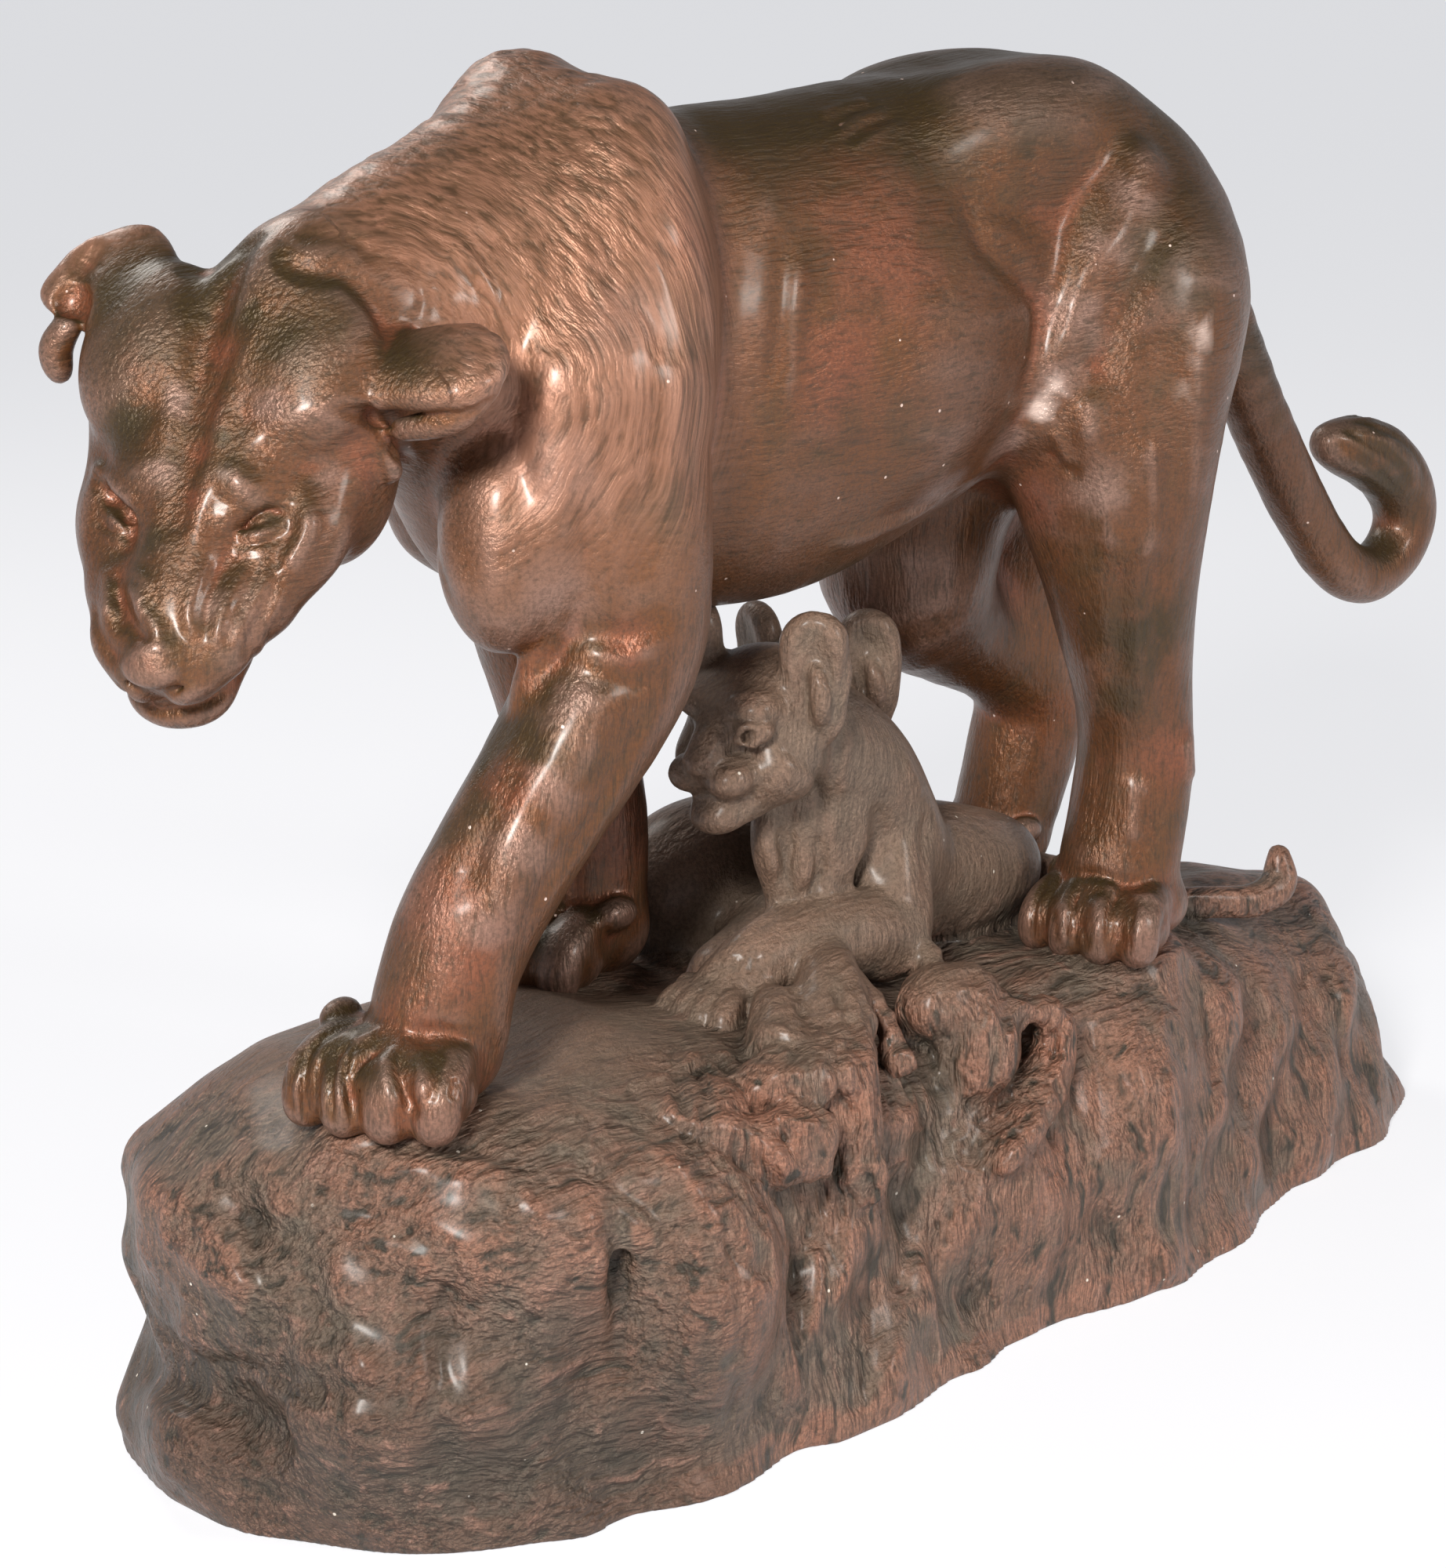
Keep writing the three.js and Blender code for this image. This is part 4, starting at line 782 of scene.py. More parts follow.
# Dark spots: dark patina on the head lobes, the back and the tail, and painted shade under the belly, behind
# the shoulder and down the near shin
mark_skin(lioness, "dark", stain_and_light_spots(points, [
    (-225, -130, 680, 34), (-250, -138, 585, 24), (30, -70, 770, 60), (120, -60, 775, 50),
    (215, -105, 670, 50), (200, -110, 430, 40), (190, -100, 380, 30), (-398, -70, 395, 24),
    (-412, -66, 350, 20), (-90, 0, 790, 60), (580, 0, 480, 60), (430, 0, 590, 50), (-240, 0, 760, 60),
    (0, 0, 500, 60)] + on_head(
        (-95, 45, 16, 34), (-110, 20, 16, 24), (-95, -46, 16, 44), (-45, -42, 8, 32), (-40, 18, 8, 9),
        (20, -10, 0, 14), (76, 8, -8, 12))))
mark_skin(lioness, "chalk", np.maximum(
    stain_and_light_spots(points, [(222, -128, 628, 9), (216, -126, 610, 9), (210, -124, 592, 10), (204, -120, 575, 9)]),
    stain_and_light_spots(points, on_head((-20, 26, 0, 7), (-101, 152, -30, 10)) + [
        (133, -84, 598, 10), (126, -80, 585, 9)])))


def node(tree, kind, at, **settings):
    made = tree.nodes.new(kind)
    made.location = at
    for name, value in settings.items():
        setattr(made, name, value)
    return made


def feed(tree, socket, value):
    """A socket is given a plain value or another node's output."""
    if isinstance(value, bpy.types.NodeSocket):
        tree.links.new(value, socket)
    else:
        socket.default_value = value


def mix_colour(tree, at, factor, first, second):
    made = node(tree, "ShaderNodeMix", at, data_type="RGBA")
    feed(tree, made.inputs[0], factor)
    feed(tree, made.inputs[6], first)
    feed(tree, made.inputs[7], second)
    return made.outputs[2]


def maths(tree, at, way, first, second):
    made = node(tree, "ShaderNodeMath", at, operation=way)
    feed(tree, made.inputs[0], first)
    feed(tree, made.inputs[1], second)
    return made.outputs[0]


def levels(tree, at, value, low, high, bottom=0.0, top=1.0):
    made = node(tree, "ShaderNodeMapRange", at, interpolation_type="SMOOTHSTEP")
    tree.links.new(value, made.inputs["Value"])
    for name, number in (("From Min", low), ("From Max", high), ("To Min", bottom), ("To Max", top)):
        made.inputs[name].default_value = number
    return made.outputs["Result"]


def noise(tree, at, vector, scale, detail, roughness=0.55):
    made = node(tree, "ShaderNodeTexNoise", at)
    tree.links.new(vector, made.inputs["Vector"])
    made.inputs["Scale"].default_value = scale
    made.inputs["Detail"].default_value = detail
    made.inputs["Roughness"].default_value = roughness
    return made.outputs["Fac"]


def read_mark(tree, at, name):
    return node(tree, "ShaderNodeAttribute", at, attribute_type="GEOMETRY", attribute_name=name)


# The patina of old bronze: broad patches, clouds in them, a fine grain, and pale specks
patina = bpy.data.node_groups.new("bronze_patina", "ShaderNodeTree")
patina.interface.new_socket("Place", in_out="INPUT", socket_type="NodeSocketVector")
for name in ("Patches", "Clouds", "Grain", "Specks"):
    patina.interface.new_socket(name, in_out="OUTPUT", socket_type="NodeSocketFloat")
inside = node(patina, "NodeGroupInput", (-600, 0))
outside = node(patina, "NodeGroupOutput", (600, 0))
spot = inside.outputs["Place"]
patina.links.new(noise(patina, (-300, 300), spot, 7, 3), outside.inputs["Patches"])
patina.links.new(noise(patina, (-300, 100), spot, 26, 5, 0.62), outside.inputs["Clouds"])
patina.links.new(noise(patina, (-300, -100), spot, 420, 4, 0.7), outside.inputs["Grain"])
dots = node(patina, "ShaderNodeTexVoronoi", (-300, -300))
dots.inputs["Scale"].default_value = 62
patina.links.new(spot, dots.inputs["Vector"])
dot = levels(patina, (-100, -300), dots.outputs["Distance"], 0.05, 0.075, 1, 0)
chosen = levels(patina, (-100, -450), dots.outputs["Color"], 0.72, 0.74)
patina.links.new(maths(patina, (100, -300), "MULTIPLY", dot, chosen), outside.inputs["Specks"])

# Strokes of the modelling tool, long one way and close together the other two ways
strokes = bpy.data.node_groups.new("tool_strokes", "ShaderNodeTree")
strokes.interface.new_socket("Place", in_out="INPUT", socket_type="NodeSocketVector")
strokes.interface.new_socket("Closeness", in_out="INPUT", socket_type="NodeSocketVector")
strokes.interface.new_socket("Height", in_out="OUTPUT", socket_type="NodeSocketFloat")
inside = node(strokes, "NodeGroupInput", (-800, 0))
outside = node(strokes, "NodeGroupOutput", (400, 0))
stretch = node(strokes, "ShaderNodeVectorMath", (-500, 0), operation="MULTIPLY")
strokes.links.new(inside.outputs["Place"], stretch.inputs[0])
strokes.links.new(inside.outputs["Closeness"], stretch.inputs[1])
waver = node(strokes, "ShaderNodeTexNoise", (-500, 250))
waver.inputs["Scale"].default_value = 18
strokes.links.new(inside.outputs["Place"], waver.inputs["Vector"])
bend = node(strokes, "ShaderNodeVectorMath", (-200, 100), operation="MULTIPLY_ADD")
strokes.links.new(waver.outputs["Color"], bend.inputs[0])
bend.inputs[1].default_value = (3, 3, 3)
strokes.links.new(stretch.outputs[0], bend.inputs[2])
strokes.links.new(noise(strokes, (100, 0), bend.outputs[0], 1, 2, 0.6), outside.inputs["Height"])


def add_group(tree, at, group, **values):
    made = node(tree, "ShaderNodeGroup", at, node_tree=group)
    for name, value in values.items():
        feed(tree, made.inputs[name], value)
    return made


def start_bronze(name):
    """A bronze with the shared patina, the mark of the hollows and how far the skin faces up."""
    bronze = bpy.data.materials.new(name)
    bronze.use_nodes = True
    tree = bronze.node_tree
    where = node(tree, "ShaderNodeTexCoord", (-1600, 0)).outputs["Object"]
    look = add_group(tree, (-1300, 0), patina, Place=where)
    hollow = read_mark(tree, (-1300, -300), "hollow").outputs["Fac"]
    facing = node(tree, "ShaderNodeSeparateXYZ", (-1100, 300))
    tree.links.new(node(tree, "ShaderNodeNewGeometry", (-1300, 300)).outputs["Normal"], facing.inputs[0])
    return bronze, where, look, hollow, facing.outputs["Z"]


def finish_bronze(bronze, look, colour, rise, metal, coat, roughness, strength, height, grit):
    """The colour, the sheen and the small relief. Roughness gives its least and its most."""
    tree = bronze.node_tree
    principled = tree.nodes["Principled BSDF"]
    tree.links.new(colour, principled.inputs["Base Color"])
    principled.inputs["Metallic"].default_value = metal
    principled.inputs["Specular IOR Level"].default_value = 0.3
    principled.inputs["Coat Weight"].default_value = 0.2
    principled.inputs["Coat Roughness"].default_value = coat
    tree.links.new(levels(tree, (-100, -300), look.outputs["Clouds"], 0.3, 0.7, *roughness),
                   principled.inputs["Roughness"])
    bump = node(tree, "ShaderNodeBump", (-200, -900))
    bump.inputs["Strength"].default_value = strength
    bump.inputs["Distance"].default_value = height
    rough = maths(tree, (-450, -1000), "MULTIPLY", look.outputs["Grain"], grit)
    tree.links.new(maths(tree, (-350, -900), "ADD", rise, rough), bump.inputs["Height"])
    tree.links.new(bump.outputs[0], principled.inputs["Normal"])


lioness_bronze, where, look, hollow, upward = start_bronze("lioness_bronze")
tree = lioness_bronze.node_tree
# Faces that look up are darkened: partly the dark olive patina of the back and head, partly painted shade, as
# if they reflected a dark ceiling
tops = maths(tree, (-900, 300), "ADD", upward,
             maths(tree, (-1000, 200), "SUBTRACT", look.outputs["Patches"], 0.5))
dark = maths(tree, (-750, 320), "MAXIMUM", levels(tree, (-900, 420), tops, 0.15, 0.8, 0, 0.95),
             read_mark(tree, (-1100, 450), "dark").outputs["Fac"])
red = maths(tree, (-750, -420), "MAXIMUM", levels(tree, (-900, -350), hollow, 0.12, 0.6, 0, 0.8),
            read_mark(tree, (-1100, -450), "red").outputs["Fac"])
# Ridges and the pale spots turn pinkish grey: wear on the ridges, and painted highlights where the lamps
# shine
pale = maths(tree, (-750, -620), "MAXIMUM", levels(tree, (-900, -550), hollow, -0.2, -0.8, 0, 0.7),
             read_mark(tree, (-1100, -650), "pale").outputs["Fac"])
colour = mix_colour(tree, (-700, 200), levels(tree, (-900, 100), look.outputs["Patches"], 0.38, 0.62),
                    (0.126, 0.052, 0.024, 1), (0.134, 0.051, 0.017, 1))
colour = mix_colour(tree, (-600, 200), levels(tree, (-700, -200), look.outputs["Clouds"], 0.5, 0.75, 0, 0.5),
                    colour, (0.070, 0.047, 0.022, 1))
# The dark mix: dark patina, painted shade on the tops, under the belly and in the valleys of the legs
colour = mix_colour(tree, (-500, 200), maths(tree, (-600, 300), "MULTIPLY", dark, 0.92), colour,
                    (0.036, 0.027, 0.010, 1))
colour = mix_colour(tree, (-400, 200), maths(tree, (-500, 300), "MULTIPLY", red, 0.62), colour,
                    (0.240, 0.076, 0.040, 1))
colour = mix_colour(tree, (-300, 200), maths(tree, (-400, 300), "MULTIPLY", pale, 0.8), colour,
                    (0.270, 0.165, 0.130, 1))
colour = mix_colour(tree, (-150, 200), levels(tree, (-700, -700), look.outputs["Grain"], 0.42, 0.62, 0, 0.4),
                    colour, (0.035, 0.024, 0.016, 1))
colour = mix_colour(tree, (0, 200), levels(tree, (-700, -800), look.outputs["Grain"], 0.6, 0.75, 0, 0.25),
                    colour, (0.34, 0.20, 0.15, 1))
body = add_group(tree, (-1000, -800), strokes, Place=where, Closeness=(60, 330, 330)).outputs[0]
down = add_group(tree, (-1000, -1000), strokes, Place=where, Closeness=(330, 330, 60)).outputs[0]
collar_arcs = read_mark(tree, (-1200, -1200), "arcs").outputs["Vector"]
swept = add_group(tree, (-1000, -1200), strokes, Place=collar_arcs, Closeness=(16, 260, 110)).outputs[0]
hair = mix_colour(tree, (-700, -900), read_mark(tree, (-900, -850), "legs").outputs["Fac"], body, down)
hair = mix_colour(tree, (-500, -900), read_mark(tree, (-700, -1100), "neck").outputs["Fac"], hair, swept)
colour = mix_colour(tree, (50, 50), levels(tree, (-100, 50), hair, 0.5, 0.3, 0, 0.5), colour,
                    (0.038, 0.026, 0.014, 1))
collar = maths(tree, (-100, -400), "MULTIPLY", read_mark(tree, (-300, -400), "neck").outputs["Fac"],
               levels(tree, (-300, -500), hair, 0.28, 0.7, 0.15, 0.68))
colour = mix_colour(tree, (100, 50), collar, colour, (0.340, 0.165, 0.105, 1))
chalk = maths(tree, (0, 350), "MAXIMUM", look.outputs["Specks"],
              read_mark(tree, (-300, 450), "chalk").outputs["Fac"])
colour = mix_colour(tree, (200, 200), chalk, colour, (0.66, 0.50, 0.43, 1))
finish_bronze(lioness_bronze, look, colour, hair, metal=0.4, coat=0.2, roughness=(0.34, 0.5),
              strength=0.8, height=0.0018, grit=0.25)
lioness.data.materials.append(lioness_bronze)
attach(lioness, "root")
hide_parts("lioness")


# The rock: one casting with both cubs, who lie on it. Four boulders run into each other,
# and gnarled folds hang over the near edge.
ROCK_WIDTH = 430
clay = Clay(ruler(-560, 3.2, -190, 2.6, 220, 3.2, 640), ruler(-250, 2.8, 240),
            ruler(-16, 3.4, 205, 2.4, 490))


class Column:
    """A boulder like a round-edged post: an oval in plan that widens towards the ground. Its
    length and width are measured from the centre."""

    def __init__(self, centre, length, width, top, edge, spread):
        self.centre = centre
        self.length = length
        self.width = width
        self.top = top
        self.edge = edge
        self.spread = spread
        out_x = length * (1 + spread)
        out_y = width * (1 + spread)
        self.low = np.array([centre[0] - out_x, centre[1] - out_y, -16])
        self.high = np.array([centre[0] + out_x, centre[1] + out_y, top])

    def distance(self, x, y, z):
        x, y, z = np.meshgrid(x - self.centre[0], y - self.centre[1], z, indexing="ij", sparse=True)
        widen = 1 + self.spread * (self.top - np.maximum(z, 0)) / self.top - self.spread * 0.5
        plan = np.hypot(x / (self.length * widen), y / (self.width * widen))
        side = (plan - 1) * min(self.length, self.width) * widen + self.edge
        rise = z - self.top + self.edge
        corner = np.hypot(np.maximum(side, 0), np.maximum(rise, 0))
        return np.float32(np.minimum(np.maximum(side, rise), 0) + corner - self.edge)


half = ROCK_WIDTH / 2
clay.press(60, Column((-308, 0), 182, half * 0.8, FRONT_TOP, 82, 0.08))
clay.press(60, Column((-150, -4), 215, half * 0.77, (FRONT_TOP + REAR_TOP) / 2 + 4, 60, 0.3))
clay.press(60, Column((150, -2), 240, half * 0.71, REAR_TOP, 60, 0.24))
clay.press(60, Column((410, 37), 174, half * 0.57, REAR_TOP - 18, 86, 0.4))

# The boulder at the front end overhangs the bed that it lies on
clay.press(40, Lump((-372, 14, 148), (132, 142, 74)), Lump((-400, 6, 30), (108, 136, 62)))
clay.carve(16, Chain([(-425, 172, 88, 12), (-478, 116, 84, 14), (-504, 34, 80, 15), (-492, -62, 76, 15),
                      (-436, -150, 70, 12)]))

# Weathering: its surface swells and sinks, and hollows run down its sides
WEATHER = 7
x, y, z = np.meshgrid(*clay.marks, indexing="ij", sparse=True)
slow = np.sin(0.034 * x + 0.011 * y + 1.3 * np.sin(0.029 * z + 0.5)) * np.cos(
    0.041 * z - 0.013 * x + 1.1 * np.sin(0.03 * y))
quick = np.sin(0.057 * x - 0.037 * y + 0.045 * z + 1.2 * np.sin(0.036 * x + 0.03 * z))
fade = np.where(z < 170, 1, np.maximum(0.25, 1 - (z - 170) / 50))
clay.field += np.float32(WEATHER * (slow + 0.4 * quick) * fade)
for x, y, z, long, high in ((-330, -110, 176, 110, 52), (-400, -92, 90, 90, 56), (-262, -146, 120, 60, 84),
                            (30, -100, 92, 80, 60), (160, -102, 108, 60, 70), (250, 120, 100, 110, 66),
                            (-60, 140, 110, 120, 66), (-300, 130, 110, 120, 66)):
    clay.press(34, Lump((x, y, z), (long, 70, high)))
for x, y, lean in ((-322, -196, 10), (-216, -212, -14), (-150, -216, 12), (96, -196, -10), (210, -176, 14),
                   (200, 190, -12), (40, 206, 10), (-110, 212, -10), (-250, 200, 12)):
    clay.carve(16, Chain([(x - lean, y * 0.86, 170, 4), (x, y, 110, 7), (x + lean, y * 1.04, 30, 7)]))

# Gnarled folds hang over the near edge
clay.carve(18, Lump((-62, -204, 108), (50, 38, 56)))
clay.press(16, Chain([(-64, -82, 254, 18), (-84, -104, 242, 21), (-108, -134, 224, 20), (-120, -154, 192, 18),
                      (-116, -166, 150, 14)]))
clay.press(14, Chain([(-108, -78, 240, 13), (-130, -102, 241, 15), (-150, -124, 232, 14)]))
clay.press(14, Lump((-150, -142, 220), (44, 26, 20)), Lump((-224, -138, 216), (22, 19, 17)))
clay.press(14, Chain([(-270, -136, 220, 8), (-242, -154, 212, 11), (-212, -162, 200, 11),
                      (-194, -170, 186, 9)]))
clay.press(12, Lump((-184, -170, 192), (30, 16, 24)))
clay.carve(3, Chain([(-190, -188, 203, 4), (-172, -192, 188, 4)]))
clay.press(14, Chain([(-50, -82, 242, 8), (-50, -110, 230, 8), (-54, -138, 202, 7)]))
clay.press(16, Lump((10, -114, 224), (38, 26, 24)), Lump((22, -134, 192), (28, 22, 30)))
clay.press(9, Lump((46, -130, 212), (18, 14, 13)), Lump((22, -86, 240), (11, 10, 13)))
clay.press(12, Chain([(60, -130, 206, 6), (76, -136, 210, 7), (90, -138, 196, 7), (86, -142, 176, 7),
                      (68, -140, 168, 6)]))
clay.carve(3, Lump((75, -146, 192), (5, 8, 8)))
clay.press(16, Chain([(96, -132, 190, 8), (84, -142, 164, 9), (58, -150, 156, 10), (30, -162, 144, 10),
                      (4, -172, 130, 8)]))

# A level bed under each of her paws
for foot in (LEFT_FORE, RIGHT_FORE, LEFT_HIND, RIGHT_HIND):
    size = foot["size"]
    bed = place(foot["sole"], heading(foot["turn"]), size * 0.04, 0, 0)
    clay.press(16, Column(bed[:2], size * 0.66, size * 0.56, bed[2] + 1, 12, 0.3))

# The near cub lies with its forelegs out and its head up. Its chest is deep and its neck
# as thick as its head, with fluff at the throat.
clay.press(24, Lump((36, -4, 285), (52, 46, 64)))
clay.press(26, Chain([(64, 2, 276, 46), (130, 8, 262, 44), (190, 12, 250, 36)]))
clay.press(18, Chain([(48, -10, 300, 48), (20, -14, 345, 48), (-18, -22, 376, 46), (-52, -28, 396, 42)]))
clay.press(10, Chain([(28, -40, 296, 30), (18, -54, 256, 28), (-14, -56, 262, 27), (-58, -53, 264, 25),
                      (-98, -48, 256, 22), (-128, -46, 242, 18)]))
clay.press(12, Chain([(20, 20, 255, 28), (-56, 4, 240, 22), (-88, -4, 236, 19)]))
for x, y, z, low, sway in ((-66, -34, 362, 92, -4), (-50, -44, 352, 62, 5), (-34, -50, 350, 70, 2),
                           (-18, -52, 346, 52, 4)):
    clay.press(9, Chain([(x, y, z, 12), (x + sway, y, z - 0.4 * low, 11), (x - sway, y, z - 0.75 * low, 8),
                         (x, y, z - low, 3)]))
model_paw(clay, (-130, -48, 226), 12, 50)
clay.press(8, Chain([(240, 12, 236, 14), (300, -25, 208, 12), (350, -48, 202, 11), (388, -60, 198, 11),
                     (412, -62, 206, 11), (414, -60, 226, 9)]))

# The far cub lies crosswise behind it
clay.press(24, Lump((-20, 84, 262), (66, 52, 58)), Lump((40, 98, 262), (84, 46, 54)),
           Lump((98, 92, 296), (48, 42, 62)))
clay.press(20, Chain([(100, 86, 320, 44), (90, 78, 352, 44), (72, 66, 375, 40)]))


def model_cub_head(clay, brow, axes, drilled):
    """A cub's broad face with a short muzzle, from the point between its eyes along its gaze."""

    def at(*spot):
        return place(brow, axes, *spot)

    def lump(blend, forward, left, up, *radii):
        clay.press(blend, Lump(at(forward, left, up), radii, axes))

    def line(*points):
        return Chain([(*at(*p[:3]), p[3]) for p in points], reach=12)

    lump(14, -46, 0, -8, 50, 47, 41)
    for side in (-1, 1):
        lump(14, -28, 24 * side, -34, 32, 24, 26)
        lump(10, -12, 18 * side, 6, 18, 18, 12)
    clay.press(10, Limb(at(-10, 0, -2), at(16, 0, -17), 16, 11))
    for side in (-1, 1):
        lump(7, 9, 13 * side, -31, 18, 16, 13)
    lump(4, 23, 0, -20, 7, 11, 7)
    lump(12, -10, 0, -52, 28, 26, 17)
    lump(7, 8, 0, -57, 16, 18, 12)
    for side in (-1, 1):
        clay.carve(5, Lump(at(11, 28 * side, -3), (11, 12, 7), axes))
        if drilled == side:
            clay.carve(2, Lump(at(-1, 25 * side, -4), (9, 5, 6), axes))
        else:
            clay.press(3, Lump(at(-5, 26 * side, -4), (10, 11, 9), axes))
            clay.press(1.5, line((8, 18 * side, -8, 1.8), (6, 25 * side, 2, 2.6), (-3, 35 * side, -3, 2)))
            clay.press(1.5, line((8, 18 * side, -8, 1.8), (4, 28 * side, -10, 2.4), (-3, 35 * side, -3, 2)))
        clay.carve(2.5, line((27, 1 * side, -30, 1.4), (27, 2 * side, -37, 2), (22, 14 * side, -43, 2.2),
                             (8, 25 * side, -41, 2), (-2, 31 * side, -35, 1.4)))
        clay.carve(2, line((28, 4 * side, -20, 1.6), (26, 9 * side, -22, 2.4), (22, 12 * side, -25, 1.4)))
        ear_back = axes.T @ (-0.8, -0.5 * side, 0)
        model_ear(clay, at(-42, 42 * side, -12), at(-45, 41 * side, 55), ear_back, 21, 12, 0.5)
        clay.press(6, line((-34, 49 * side, -4, 5), (-34, 50 * side, 12, 5), (-38, 45 * side, 26, 3)))


model_cub_head(clay, (-123, -42, 419), 1.06 * heading(10, -8), -1)
model_cub_head(clay, (29, 50, 381), heading(16, -8, 3), 0)

z = clay.marks[2][None, None, :]
clay.field = np.maximum(clay.field, -z).astype(np.float32)
rock = cast(clay, "rock_casting")
points, facing = skin(rock)
x, y, z = points.T


def calm(points):
    """1 on the cubs, who are smooth, and 0 on the rock."""
    return ramp(points[:, 2], 222, 250)


